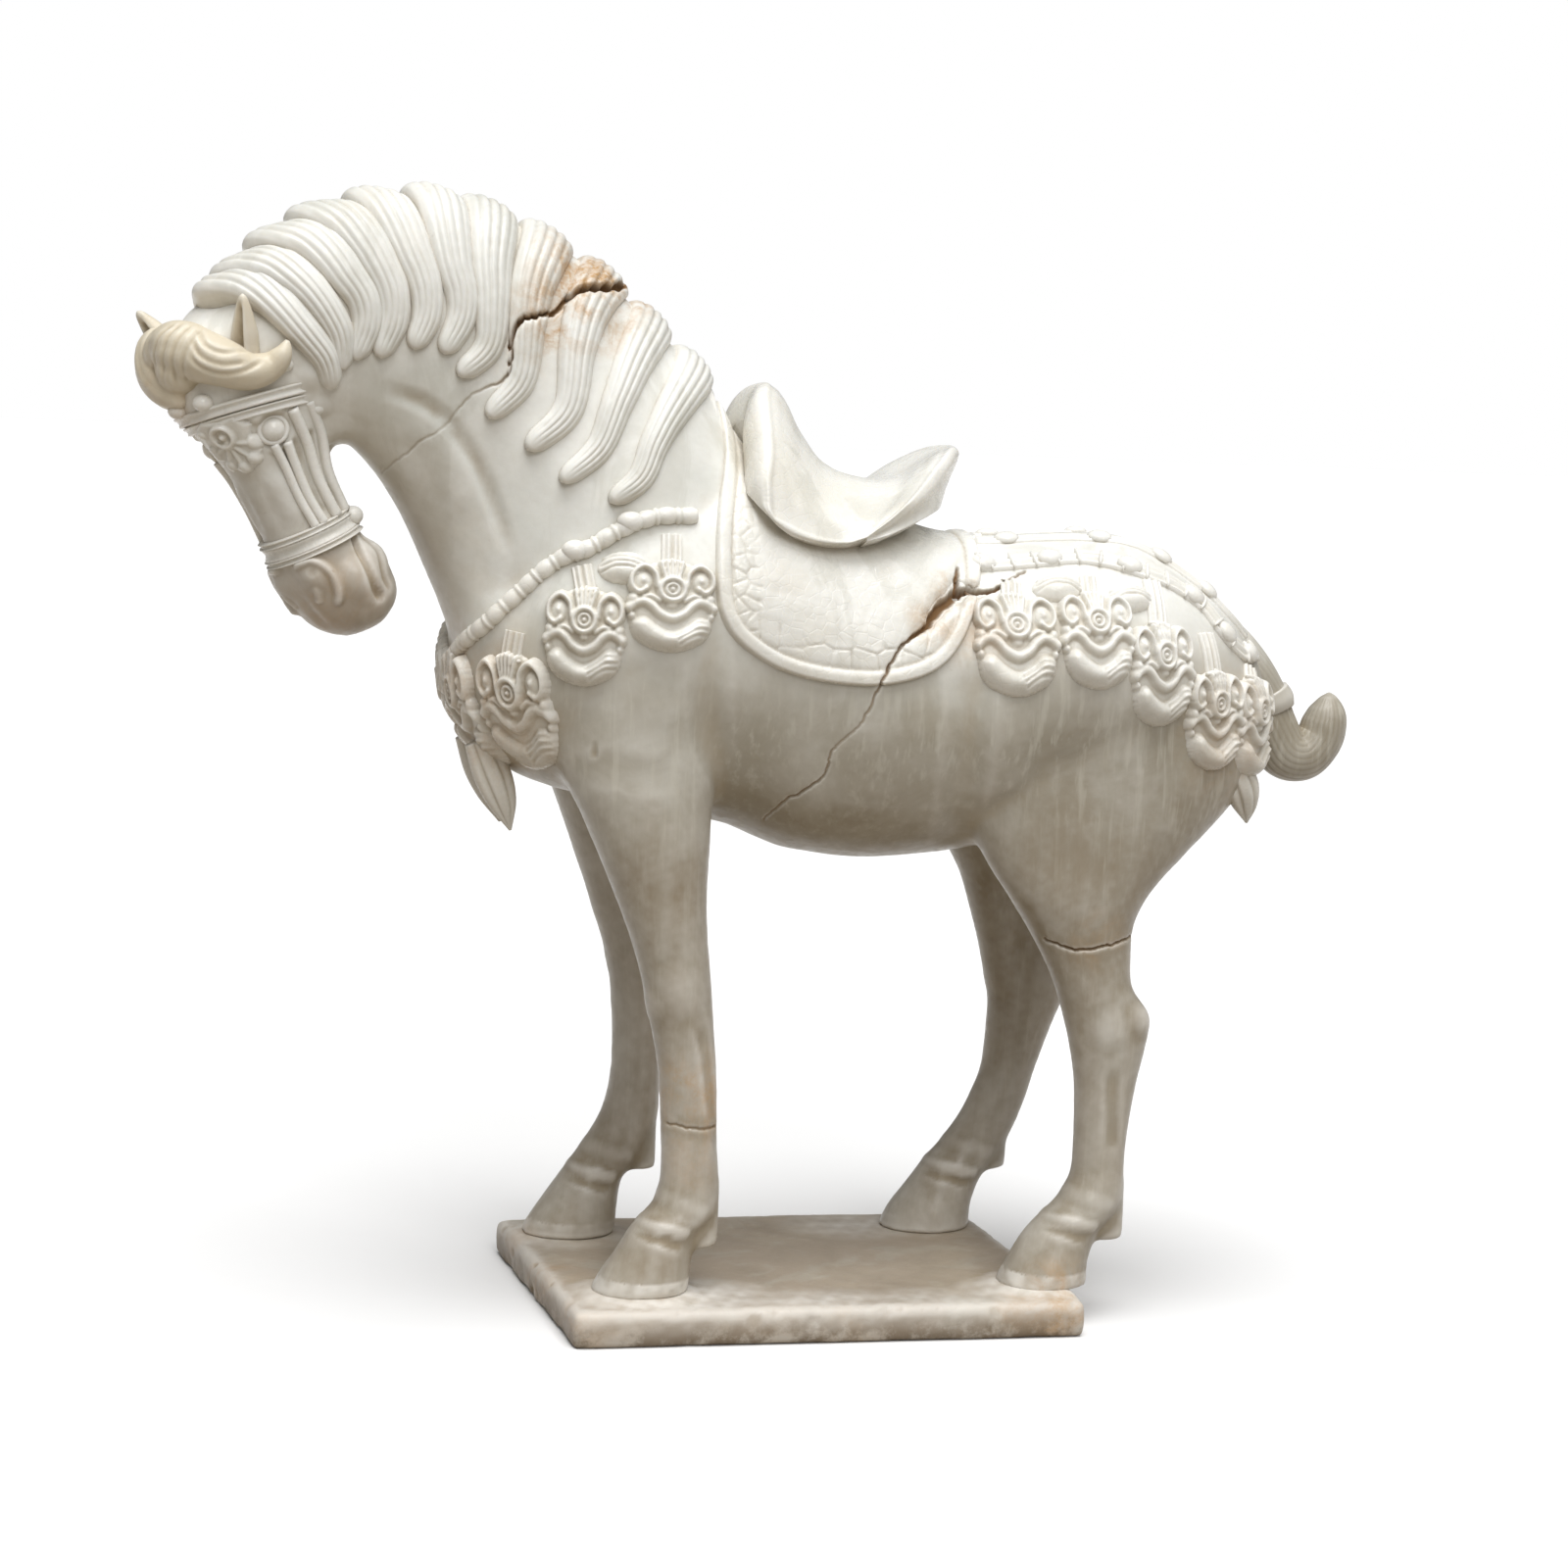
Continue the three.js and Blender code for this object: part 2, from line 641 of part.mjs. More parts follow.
function plinth() {
  const shape = new THREE.Shape();
  const length = plinthLength / 2 - plinthEdge;
  const width = plinthWidth / 2 - plinthEdge;
  shape.moveTo(-length + plinthSkew, -width);
  shape.lineTo(length + plinthSkew, -width);
  shape.lineTo(length - plinthSkew, width);
  shape.lineTo(-length - plinthSkew, width);
  const geometry = new THREE.ExtrudeGeometry(shape, {
    depth: plinthHeight - 2 * plinthEdge,
    bevelThickness: plinthEdge,
    bevelSize: plinthEdge,
    bevelSegments: 2,
  });
  geometry.translate(0, 0, plinthEdge);
  return solidFrom(geometry).subtract(bores);
}

// The surface of the neck

function neckSection(place) {
  const above = Math.min(Math.floor(place), neckStations.length - 2);
  const share = place - above;
  const [throat, crest, halfWidth, lean] = neckStations[above];
  const [nextThroat, nextCrest, nextHalf, nextLean] = neckStations[above + 1];
  const mix = (a, b) => THREE.MathUtils.lerp(a, b, share);
  return {
    low: new THREE.Vector2(mix(throat[0], nextThroat[0]), mix(throat[1], nextThroat[1])),
    high: new THREE.Vector2(mix(crest[0], nextCrest[0]), mix(crest[1], nextCrest[1])),
    halfWidth: mix(halfWidth, nextHalf),
    lean: mix(lean, nextLean),
  };
}

// The neck station whose section passes through a point of the side view
function stationThrough(x, z) {
  let start = 0;
  let end = neckStations.length - 1;
  for (let step = 0; step < 24; step += 1) {
    const middle = (start + end) / 2;
    const { low, high } = neckSection(middle);
    const turn = (high.x - low.x) * (z - low.y) - (high.y - low.y) * (x - low.x);
    if (turn > 0) {
      start = middle;
    } else {
      end = middle;
    }
  }
  return (start + end) / 2;
}

// A point on the neck's section: share is 0 at the throat and 1 at the crest, side is -1 near or 1 off
function neckPoint(place, share, side) {
  const { low, high, halfWidth, lean } = neckSection(place);
  const bulge = Math.sqrt(Math.max(0, 1 - (2 * share - 1) ** 2));
  const across = high.clone().sub(low);
  const point = new THREE.Vector3(low.x + across.x * share, lean + side * bulge * halfWidth, low.y + across.y * share);
  const out = new THREE.Vector3(
    ((2 * share - 1) * across.x) / across.lengthSq() * 2,
    (side * bulge) / halfWidth,
    ((2 * share - 1) * across.y) / across.lengthSq() * 2,
  ).normalize();
  return { point, out };
}

function nearNeckPoint(x, z) {
  const place = stationThrough(x, z);
  const { low, high } = neckSection(place);
  const across = high.clone().sub(low);
  const share = (new THREE.Vector2(x, z).sub(low).dot(across)) / across.lengthSq();
  return { ...neckPoint(place, Math.min(share, 1), -1), place, share: Math.min(share, 1) };
}

// A flat strand that lies on a row of surface points, with its width and thickness at each
function strand(seats, widths, thicknesses, sides) {
  const rings = seats.map(({ point, out }, k) => {
    const before = seats[Math.max(k - 1, 0)].point;
    const after = seats[Math.min(k + 1, seats.length - 1)].point;
    const tangent = after.clone().sub(before).normalize();
    const across = tangent.clone().cross(out).normalize();
    const rise = across.clone().cross(tangent).normalize();
    return ellipseRing(
      point,
      across.multiplyScalar(widths[k]),
      rise.multiplyScalar(thicknesses[k]),
      sides,
    );
  });
  return loft(rings);
}

// Mane

function lock(line, grow) {
  const top = nearNeckPoint(...line[0]);
  const drop = rootDrop / neckSection(top.place).high.distanceTo(neckSection(top.place).low);
  const seats = [
    neckPoint(top.place, 1 - drop, 1),
    neckPoint(top.place, 1 - drop / 4, 1),
    neckPoint(top.place, 1, -1),
    neckPoint(top.place, 1 - drop / 4, -1),
    ...line.slice(1).map(([x, z]) => nearNeckPoint(x, z)),
  ];
  const widths = seats.map((seat, k) => {
    const taper = k < 4 ? 1.15 : 1 - 0.1 * (k - 4);
    return lockHalfWidth * taper * (k === 0 || k === seats.length - 1 ? 0.45 : 1) + grow;
  });
  const thicknesses = seats.map((seat, k) => {
    const thin = k === 0 || k === seats.length - 1;
    return lockThickness * (thin ? 0.5 : 1) + grow;
  });
  return strand(seats, widths, thicknesses, lockSides);
}

function maneBed(grow) {
  return neck(bedDepth + grow).intersect(sidePrism(bedOutline, -reach, reach));
}

function mane(grow) {
  return join([maneBed(grow), ...maneLocks.map((line) => lock(line, grow))]);
}

const maneWithGap = mane(seatGap);
const wholeMane = mane(0).subtract(stoneWithGap);

// Forelock and ears

function forelock(grow) {
  const locks = [foreheadTuft, forelockCrescent].map((line) => roundLoft(line, forelockSides, grow));
  return join([...locks, ball(new THREE.Vector3(...topknot.middle), topknot.radius + grow)]);
}

function ear({ root, tip, halfWidth, thickness }) {
  const start = new THREE.Vector3(...root);
  const end = new THREE.Vector3(...tip);
  const steps = [[-0.35, 0.8], [0, 1], [0.35, 1], [0.7, 0.62], [1, 0.12]];
  const rise = end.clone().sub(start);
  const across = near.clone().addScaledVector(rise, -near.dot(rise) / rise.lengthSq()).normalize();
  const depth = across.clone().cross(rise).normalize();
  return loft(steps.map(([share, size]) => ellipseRing(
    start.clone().addScaledVector(rise, share),
    across.clone().multiplyScalar(halfWidth * size),
    depth.clone().multiplyScalar(thickness * size),
    8,
  )));
}

// Saddle and cloth

const [, , backHeight] = barrelStations.find(([x]) => x >= seatPlace);
const backTop = Math.max(...barrelStations.map(([, , high]) => high));
const clothLow = backHeight - clothDrop;
const saddleFoot = backHeight - saddleDrop;

function clothOutline(grow) {
  const shape = new THREE.Shape();
  const middle = (clothFront + clothBack) / 2;
  const low = clothLow - grow;
  const high = backTop + clothOver;
  shape.moveTo(clothFront + clothSlope - grow, high);
  shape.lineTo(clothFront - grow, clothLow + clothSkirt);
  shape.quadraticCurveTo(clothFront - clothBulge - grow, low, middle, low);
  shape.quadraticCurveTo(clothBack - clothCorner + grow, low, clothBack + grow, clothLow + clothSkirt);
  shape.lineTo(clothBack + grow, high);
  return shape.getPoints(6).map(({ x, y }) => [x, y]);
}

const bodyUnderCloth = wholeBody(clothThickness);

function saddleCloth() {
  const blanket = bodyUnderCloth.intersect(sidePrism(clothOutline(0), -reach, reach));
  return blanket.subtract(stoneWithGap).subtract(maneWithGap);
}

const clothWithGap = wholeBody(clothThickness + seatGap).intersect(
  sidePrism(clothOutline(seatGap), -reach, reach),
);

function saddle() {
  const rings = saddleStations.map(([x, rise, width]) => ellipseRing(
    new THREE.Vector3(x, 0, saddleFoot),
    new THREE.Vector3(0, width, 0),
    new THREE.Vector3(0, 0, rise),
    bodySides,
  ));
  const flap = saddleFlap.map(([x, rise]) => [x, saddleFoot + rise]);
  const seat = loft(rings).intersect(sidePrism(flap, -reach, reach));
  return seat.subtract(clothWithGap).subtract(maneWithGap);
}

// What lies on the stone is placed by a line cast at it from outside

const stoneMesh = new THREE.Mesh(geometryOf(stone), new THREE.MeshBasicMaterial({ side: THREE.DoubleSide }));
const caster = new THREE.Raycaster();

function seatOn(at, out) {
  const direction = new THREE.Vector3(...out).normalize();
  const start = new THREE.Vector3(...at).addScaledVector(direction, reach);
  caster.set(start, direction.clone().negate());
  return { point: caster.intersectObject(stoneMesh)[0].point, out: direction };
}

function otherSide([x, y, z]) {
  return [x, -y, z];
}

// Straps

function outwardAt(at) {
  const [x, y, z] = at;
  const station = barrelStations.findLastIndex(([place]) => place <= x);
  const [, low, high] = barrelStations[THREE.MathUtils.clamp(station, 2, barrelStations.length - 3)];
  const middle = new THREE.Vector3(THREE.MathUtils.clamp(x, -88, 128), 0, (low + high) / 2);
  return new THREE.Vector3(x, y, z).sub(middle).normalize().toArray();
}

function strap(line, grow) {
  const seats = line.map((at) => seatOn(at, outwardAt(at)));
  const widths = seats.map(() => strapHalfWidth + grow);
  const thicknesses = seats.map(() => strapProud + grow);
  return strand(seats, widths, thicknesses, strapSides);
}

const breastLineRound = [...breastLine].reverse().concat(breastLine.map(otherSide));

// Bridle

function headSlab([from, to], grow) {
  const geometry = new THREE.BoxGeometry(2 * reach, to - from + 2 * grow, 2 * reach);
  geometry.applyQuaternion(new THREE.Quaternion().setFromUnitVectors(new THREE.Vector3(0, 1, 0), down));
  const middle = pollPlace.clone().addScaledVector(down, (from + to) / 2);
  geometry.translate(middle.x, middle.y, middle.z);
  return solidFrom(geometry);
}

function bridleBand(place, grow) {
  return head(bridleProud + grow).intersect(headSlab(place, grow)).subtract(stoneWithGap);
}

function cheekStrap(angle) {
  const { from, to, halfWidth } = cheekStrapPlace;
  const seats = [0, 1 / 3, 2 / 3, 1].map((share) => headPoint(THREE.MathUtils.lerp(from, to, share), angle));
  return strand(seats, seats.map(() => halfWidth), seats.map(() => bridleProud), 8).subtract(stoneWithGap);
}

// Hanging ornaments: a lobed plate with a boss in the middle and a rounded lobe below

function ornamentOutline(width, height, grow) {
  const points = [];
  for (let i = 0; i < ornamentSides; i += 1) {
    const angle = (2 * Math.PI * i) / ornamentSides;
    const lobes = 1 + 0.07 * Math.cos(ornamentLobes * angle);
    const taper = 1 - 0.16 * Math.sin(angle);
    points.push(new THREE.Vector2(
      (width / 2) * lobes * taper * Math.cos(angle) + grow * Math.cos(angle),
      (height / 2) * lobes * Math.sin(angle) + grow * Math.sin(angle),
    ));
  }
  return points;
}

function ornamentShape(width, height, grow) {
  const plate = new THREE.ExtrudeGeometry(new THREE.Shape(ornamentOutline(width, height, grow)), {
    depth: ornamentSink + ornamentPlate + grow,
    bevelEnabled: false,
  });
  plate.translate(0, 0, -ornamentSink);
  const boss = new THREE.SphereGeometry(1, 6, 3);
  boss.scale(width * 0.2 + grow, width * 0.2 + grow, ornamentProud + grow);
  boss.translate(0, height * 0.14, 0);
  const lobe = new THREE.SphereGeometry(1, 6, 3);
  lobe.scale(width * 0.34 + grow, height * 0.17 + grow, ornamentProud + grow);
  lobe.translate(0, -height * 0.26, 0);
  return [plate, boss, lobe];
}

function placeOn(geometry, { point, out }) {
  const below = new THREE.Vector3(0, 0, -1).addScaledVector(out, out.z).normalize();
  const side = below.clone().negate().cross(out).normalize();
  const place = new THREE.Matrix4().makeBasis(side, below.clone().negate(), out).setPosition(point);
  return solidFrom(geometry.clone().applyMatrix4(place));
}

function ornament({ at, out, width, height }, grow) {
  const seat = seatOn(at, out);
  return join(ornamentShape(width, height, grow).map((geometry) => placeOn(geometry, seat)));
}

function longOrnament(place, grow) {
  const line = breastTongue.map(([x, y, z, radius]) => [x, Math.sign(place.at[1]) * Math.abs(y), z, radius]);
  return ornament(place, grow).add(roundLoft(line, strapSides, grow));
}

function tassel({ at, out, width, height }, grow) {
  const geometry = new THREE.SphereGeometry(1, 7, 4);
  geometry.scale(width / 2 + grow, height / 2 + grow, tasselProud + grow);
  return placeOn(geometry, seatOn(at, out));
}

function mirrored(place) {
  return { ...place, at: otherSide(place.at), out: otherSide(place.out) };
}

// The assembly

const horse = new THREE.Group();

function addNode(name, solid, material) {
  const mesh = new THREE.Mesh(mainBody(geometryOf(solid)), material);
  mesh.name = name;
  horse.add(mesh);
}

function stoneFinish(name, color, roughness) {
  return new THREE.MeshStandardMaterial({ name, color, roughness, metalness: 0 });
}

const whiteMarble = stoneFinish('white_marble', 0xe4e3dc, 0.32);
const creamMarble = stoneFinish('cream_marble', 0xe9e2cf, 0.35);
const tanMarble = stoneFinish('tan_marble', 0xd9c7a4, 0.38);
const plinthMarble = stoneFinish('plinth_marble', 0xcfcbc0, 0.5);
const pinSteel = new THREE.MeshStandardMaterial({ name: 'pin_steel', color: 0x9a9a98, roughness: 0.4, metalness: 1 });

addNode('plinth', plinth(), plinthMarble);
for (const [name, solid] of Object.entries(fragments())) {
  addNode(name, solid, whiteMarble);
}
for (const place of pins) {
  addNode(place.name, pin(place, 0), pinSteel);
}

addNode('mane_front', wholeMane.intersect(headSide), whiteMarble);
addNode('mane_rear', wholeMane.subtract(notHeadSide), whiteMarble);

const forelockPiece = forelock(0).subtract(stoneWithGap).subtract(maneWithGap);
addNode('forelock', forelockPiece, tanMarble);
const aroundEars = stoneWithGap.add(maneWithGap).add(forelock(seatGap));
addNode('near_ear', ear(nearEar).subtract(aroundEars), tanMarble);
addNode('off_ear', ear(offEar).subtract(aroundEars), tanMarble);

const tailWithGap = roundLoft(tailLine, tailSides, seatGap, tailFlatten);
addNode('tail', roundLoft(tailLine, tailSides, 0, tailFlatten).subtract(stoneWithGap), whiteMarble);

const cloth = saddleCloth();
const clothBehind = cloth.intersect(tailSide);
const nearHalf = sidePrism(clothOutline(seatGap), -reach, 0);
addNode('saddle_cloth', cloth.subtract(notTailSide), creamMarble);
addNode('saddle_cloth_corner_near', clothBehind.intersect(nearHalf), creamMarble);
addNode('saddle_cloth_corner_off', clothBehind.subtract(nearHalf), creamMarble);
addNode('saddle', saddle(), creamMarble);

const aroundStraps = join([stoneWithGap, maneWithGap, clothWithGap, tailWithGap]);
addNode('breast_strap', strap(breastLineRound, 0).subtract(aroundStraps), creamMarble);
addNode('crupper_strap_near', strap(crupperLine, 0).subtract(aroundStraps), creamMarble);
addNode('crupper_strap_off', strap(crupperLine.map(otherSide), 0).subtract(aroundStraps), creamMarble);

const aroundBridle = forelock(seatGap).add(maneWithGap);
addNode('browband', bridleBand(browbandPlace, 0).subtract(aroundBridle), creamMarble);
addNode('noseband', bridleBand(nosebandPlace, 0), creamMarble);
addNode('cheek_strap_near', cheekStrap(cheekStrapPlace.angle), creamMarble);
addNode('cheek_strap_off', cheekStrap(180 - cheekStrapPlace.angle), creamMarble);
const plaqueSeat = headPoint(plaquePlace.distance, plaquePlace.angle);
const plaqueShapes = ornamentShape(plaquePlace.width, plaquePlace.height, 0);
const plaqueSolid = join(plaqueShapes.map((geometry) => placeOn(geometry, plaqueSeat)));
const browbandWithGap = head(bridleProud + seatGap).intersect(headSlab(browbandPlace, seatGap));
addNode('forehead_plaque', plaqueSolid.subtract(stoneWithGap).subtract(browbandWithGap), creamMarble);

const strapLines = [breastLineRound, crupperLine, crupperLine.map(otherSide)];
let taken = join([aroundStraps, ...strapLines.map((line) => strap(line, seatGap))]);

function addHanging(name, build, place) {
  addNode(name, build(place, 0).subtract(taken), creamMarble);
  taken = taken.add(build(place, seatGap));
}

for (const place of [...breastOrnaments, ...rumpOrnaments]) {
  const build = place === breastOrnaments.at(-1) ? longOrnament : ornament;
  addHanging(`${place.name}_near`, build, place);
  addHanging(`${place.name}_off`, build, mirrored(place));
}
for (const place of tassels) {
  addHanging(`${place.name}_near`, tassel, place);
  addHanging(`${place.name}_off`, tassel, mirrored(place));
}

export default horse;
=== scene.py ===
"""Dresses a mended, carved marble horse: stone body, mane, trappings, plinth and studio."""

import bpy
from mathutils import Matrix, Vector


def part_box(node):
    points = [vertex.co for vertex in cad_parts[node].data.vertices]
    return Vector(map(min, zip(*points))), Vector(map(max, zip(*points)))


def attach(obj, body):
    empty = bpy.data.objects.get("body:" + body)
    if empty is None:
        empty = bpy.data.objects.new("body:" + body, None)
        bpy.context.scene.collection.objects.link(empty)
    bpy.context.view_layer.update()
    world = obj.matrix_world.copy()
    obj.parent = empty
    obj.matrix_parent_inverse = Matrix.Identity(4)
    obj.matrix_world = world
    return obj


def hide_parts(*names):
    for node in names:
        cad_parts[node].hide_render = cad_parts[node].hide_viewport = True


bl_info = {
    "name": "Carved marble horse",
    "version": (1, 0, 0),
    "blender": (4, 5, 0),
    "location": "3D View > Sidebar > Horse",
    "description": "Carved and mended marble horse with saddle and trappings on a plinth",
    "category": "Add Mesh",
}

import bmesh
import bpy
import numpy as np
from bpy.props import FloatProperty, FloatVectorProperty, PointerProperty
from mathutils import Matrix, Vector
from mathutils.bvhtree import BVHTree

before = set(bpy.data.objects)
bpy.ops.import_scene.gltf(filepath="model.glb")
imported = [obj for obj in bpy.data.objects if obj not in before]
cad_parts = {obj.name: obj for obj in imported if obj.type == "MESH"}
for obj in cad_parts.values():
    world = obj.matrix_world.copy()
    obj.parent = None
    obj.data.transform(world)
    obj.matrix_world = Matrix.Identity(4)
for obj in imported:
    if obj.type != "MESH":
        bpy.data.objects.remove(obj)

MM = 0.001
PINS = [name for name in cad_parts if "dowel" in name]
PLINTH_TOP = 12.5
SEED = 4779
SIDES = (("near", 1), ("off", -1))

# The horse's stations, in millimetres, as the solids have them

# Distance along the back, underside, topline and half width
BARREL = np.array([
    (-124, 208, 246, 18), (-116, 195, 262, 31), (-100, 183, 278, 42), (-80, 177, 290, 47),
    (-55, 172, 297, 49), (-30, 168, 296, 50), (-5, 159, 284, 52), (20, 156.5, 276, 54),
    (50, 159, 269, 54), (80, 165, 271, 54), (105, 170, 272, 52), (130, 170, 262, 47),
    (148, 175, 248, 38), (160, 186, 232, 26), (166, 198, 216, 10),
], float)

# Throat x and z, crest x and z, half width and lean to the near side
NECK = np.array([
    (-108, 200, -22, 287, 44, 0), (-124, 228, -40, 317, 39, 0), (-132, 247, -60, 337, 34, 0),
    (-140, 264, -82, 355, 29, -2), (-147, 276, -108, 368, 26, -5), (-154, 285, -135, 375, 24, -9),
    (-163, 293, -162, 372, 22, -14), (-174, 299, -187, 360, 21, -18), (-190, 306, -206, 343, 18, -20),
], float)

# Height above the plinth, front, back, middle and half width
NEAR_FORE = np.array([
    (0.3, -77, -43, -40, 15), (5.5, -74, -42.5, -40, 14.5), (15.5, -67.5, -42, -40, 12.5),
    (21.5, -64, -41, -40, 11.5), (25.5, -61, -36, -40, 11), (31.5, -55.5, -33.3, -39.5, 9.5),
    (42.5, -53.6, -33.8, -39, 8.5), (72.5, -55.4, -35.3, -38, 9), (102.5, -61.2, -38, -37, 11),
    (117.5, -65.3, -39.5, -36, 12.5), (132.5, -71, -40.6, -35, 14.5), (162.5, -84.5, -39.2, -31, 20),
    (182.5, -94, -36, -28, 22), (207.5, -98, -32, -26, 22), (232.5, -92, -34, -22, 18),
], float)
OFF_FORE = np.array([
    (0.3, -87, -52, 42, 15), (5.5, -84, -52, 42, 14.5), (20.5, -74, -50.5, 42, 11.5),
    (25.5, -70.5, -46, 42, 11), (31.5, -66.5, -42, 41.5, 10), (47.5, -58.4, -37.9, 40.5, 8.5),
    (62.5, -56.1, -38, 40, 8.5), (92.5, -58.1, -38.5, 38, 10), (122.5, -67, -41.5, 36, 12.5),
    (137.5, -72.6, -42, 34.5, 15), (167.5, -85, -39, 31, 20), (187.5, -94, -36, 28, 22),
    (209.5, -98, -32, 26, 22), (232.5, -92, -34, 22, 18),
], float)
NEAR_HIND = np.array([
    (0.3, 66, 99, -40, 15), (5.5, 69, 98.5, -40, 14.5), (18.5, 76, 102, -40, 11.5),
    (25.5, 82.5, 108, -40, 11), (31.5, 88.3, 111, -40, 10), (42.5, 92.4, 110.9, -39.5, 8.5),
    (67.5, 91.9, 113.3, -39, 9), (85.5, 89, 117, -38.5, 11), (92.5, 87.2, 118, -38, 11.5),
    (107.5, 82, 110, -37.5, 12), (123.5, 73.5, 110, -36, 14.5), (132.5, 67.6, 113.5, -35, 17),
    (152.5, 55, 132, -31, 21), (165.5, 50, 145, -29, 23), (182.5, 52, 156, -27, 24),
    (202.5, 60, 158, -25, 24), (227.5, 75, 145, -20, 22), (245.5, 90, 130, -15, 15),
], float)
OFF_HIND = np.array([
    (0.3, 46.5, 81, 42, 15), (5.5, 49, 80.5, 42, 14.5), (18.5, 58, 84, 42, 11.5),
    (25.5, 63, 89, 42, 11), (31.5, 68.4, 93, 42, 10), (47.5, 77.8, 99.8, 41, 8.5),
    (62.5, 82.5, 103.6, 40, 8.5), (85.5, 83.5, 111.5, 39, 11), (92.5, 81.6, 114, 38.5, 11.5),
    (107.5, 78.1, 109, 37.5, 12), (123.5, 72.8, 111, 36, 14.5), (132.5, 69.5, 115, 35, 17),
    (152.5, 57, 133, 31, 21), (165.5, 51, 145, 29, 23), (182.5, 52, 156, 27, 24),
    (202.5, 60, 158, 25, 24), (227.5, 75, 145, 20, 22), (245.5, 90, 130, 15, 15),
], float)

# Distance from the poll, front, back and half width
HEAD = np.array([
    (1, 0, -20, 10), (8, 11, -28, 19), (18, 18, -33, 24), (29, 20, -36, 25), (46, 15, -31, 20.5),
    (60, 12, -21.5, 16.4), (74, 11, -16, 14.6), (89, 12, -18, 16), (98, 12, -23.5, 17.6),
    (109, 9, -23.5, 17), (116, 4, -21, 13), (120, -2, -14, 7),
], float)
POLL = np.array((-214.0, -20.0, 337.0))
NEAR = np.array((0.547, -0.802, 0.240))
DOWN = np.array((0.443, 0.035, -0.895))
FACE = np.array((-0.710, -0.596, -0.375))

# Back of the fetlock, middle, lowest and highest point of its tuft
TUFTS = [(-32.8, -39.5, 28, 52), (-38, 41.5, 36, 58), (112, -39.5, 28, 50), (94, 41.5, 34.5, 52)]

# Middle lines of the mane's locks in the side view, from the crest down to the tip
LOCKS = [
    [(-210, 338), (-197, 344), (-184, 333), (-173, 321), (-167, 311)],
    [(-201, 352), (-188, 350), (-178, 342), (-170, 331), (-164, 317)],
    [(-189, 362), (-178, 359), (-168, 349), (-161, 338), (-160, 320)],
    [(-175, 370), (-165, 364), (-157, 353), (-152, 341), (-152, 321)],
    [(-156, 376), (-151, 368), (-146, 357), (-141, 343), (-141, 324)],
    [(-136, 378), (-134, 367), (-132, 354), (-129, 341), (-131, 323)],
    [(-117, 374), (-119, 358), (-119, 342), (-120, 326), (-126, 316)],
    [(-97, 365), (-104, 351), (-107, 335), (-109, 316), (-116, 303)],
    [(-76, 354), (-85, 343), (-90, 328), (-93, 308), (-103, 293)],
    [(-59, 340), (-68, 328), (-76, 312), (-83, 295), (-92, 283)],
    [(-45, 324), (-55, 312), (-64, 298), (-69, 285), (-76, 277)],
]

# Direction from the figure to the near side's viewer, along which the breaks were laid out
NEAR_VIEW = np.array((-0.2402, -0.9635, 0.1184))
MANE_FRONT = range(9)
MANE_REAR = range(9, 11)

# Breaks on the surface, each point with the width of the opening there
NECK_BREAK = [
    (-56, -3, 366, 1.4), (-60, -3, 364, 2.2), (-71.5, -9, 350, 2.1), (-80, -12, 347.5, 1.7),
    (-88.2, -15.1, 345.9, 1.3), (-97.6, -23.2, 339, 1.0), (-107.9, -26.8, 336, 1.2),
    (-111.9, -28.8, 330.4, 1.0), (-113.4, -30.5, 317.7, 0.50), (-123.9, -30.8, 312.5, 0.26),
    (-128.5, -30.4, 307.5, 0.24), (-134.4, -28.5, 299.9, 0.12), (-140.4, -26.5, 295.8, 0.22),
    (-147.6, -21.7, 289, 0.20), (-151.5, -15, 284.7, 0.10),
]
BARREL_BREAK = [
    (66.5, -32.1, 259.4, 0.5), (60.1, -35.1, 256.4, 0.7), (52.4, -38.1, 252.7, 1.0),
    (43.5, -39, 252.9, 1.8), (37.5, -42.3, 250.3, 2.5), (31.6, -45.8, 245.5, 2.1),
    (27.5, -48.8, 240.7, 1.2), (19.4, -51, 234.8, 0.7), (13.6, -52.7, 226, 0.7),
    (10.4, -53.1, 219.4, 0.45), (6.2, -51.8, 208.4, 0.30), (0.3, -49.8, 202.5, 0.26),
    (-3.1, -48.1, 198, 0.32), (-4, -44.9, 190.3, 0.40), (-8.5, -40.9, 184.8, 0.45),
    (-15.1, -34.4, 179.5, 0.40), (-19.2, -24.2, 172.1, 0.30),
]
BRANCH_BREAK = [(40, -41, 251, 1.6), (41, -38, 256, 1.2), (42, -33, 260, 0.7)]
HIND_BREAK = [
    (76.6, -42.5, 134.3, 0.45), (83.8, -47.7, 131.9, 0.6), (88.5, -49.5, 131.5, 0.6),
    (93.6, -50.1, 132.3, 0.6), (104.3, -46.4, 134.4, 0.55), (110, -38, 135, 0.35),
]
FORE_BREAK = [(-52, -40, 71, 0.30), (-43.7, -46.9, 70.1, 0.36), (-36.1, -42.9, 69.8, 0.32)]
BREAKS = [NECK_BREAK, BARREL_BREAK, BRANCH_BREAK, HIND_BREAK, FORE_BREAK]

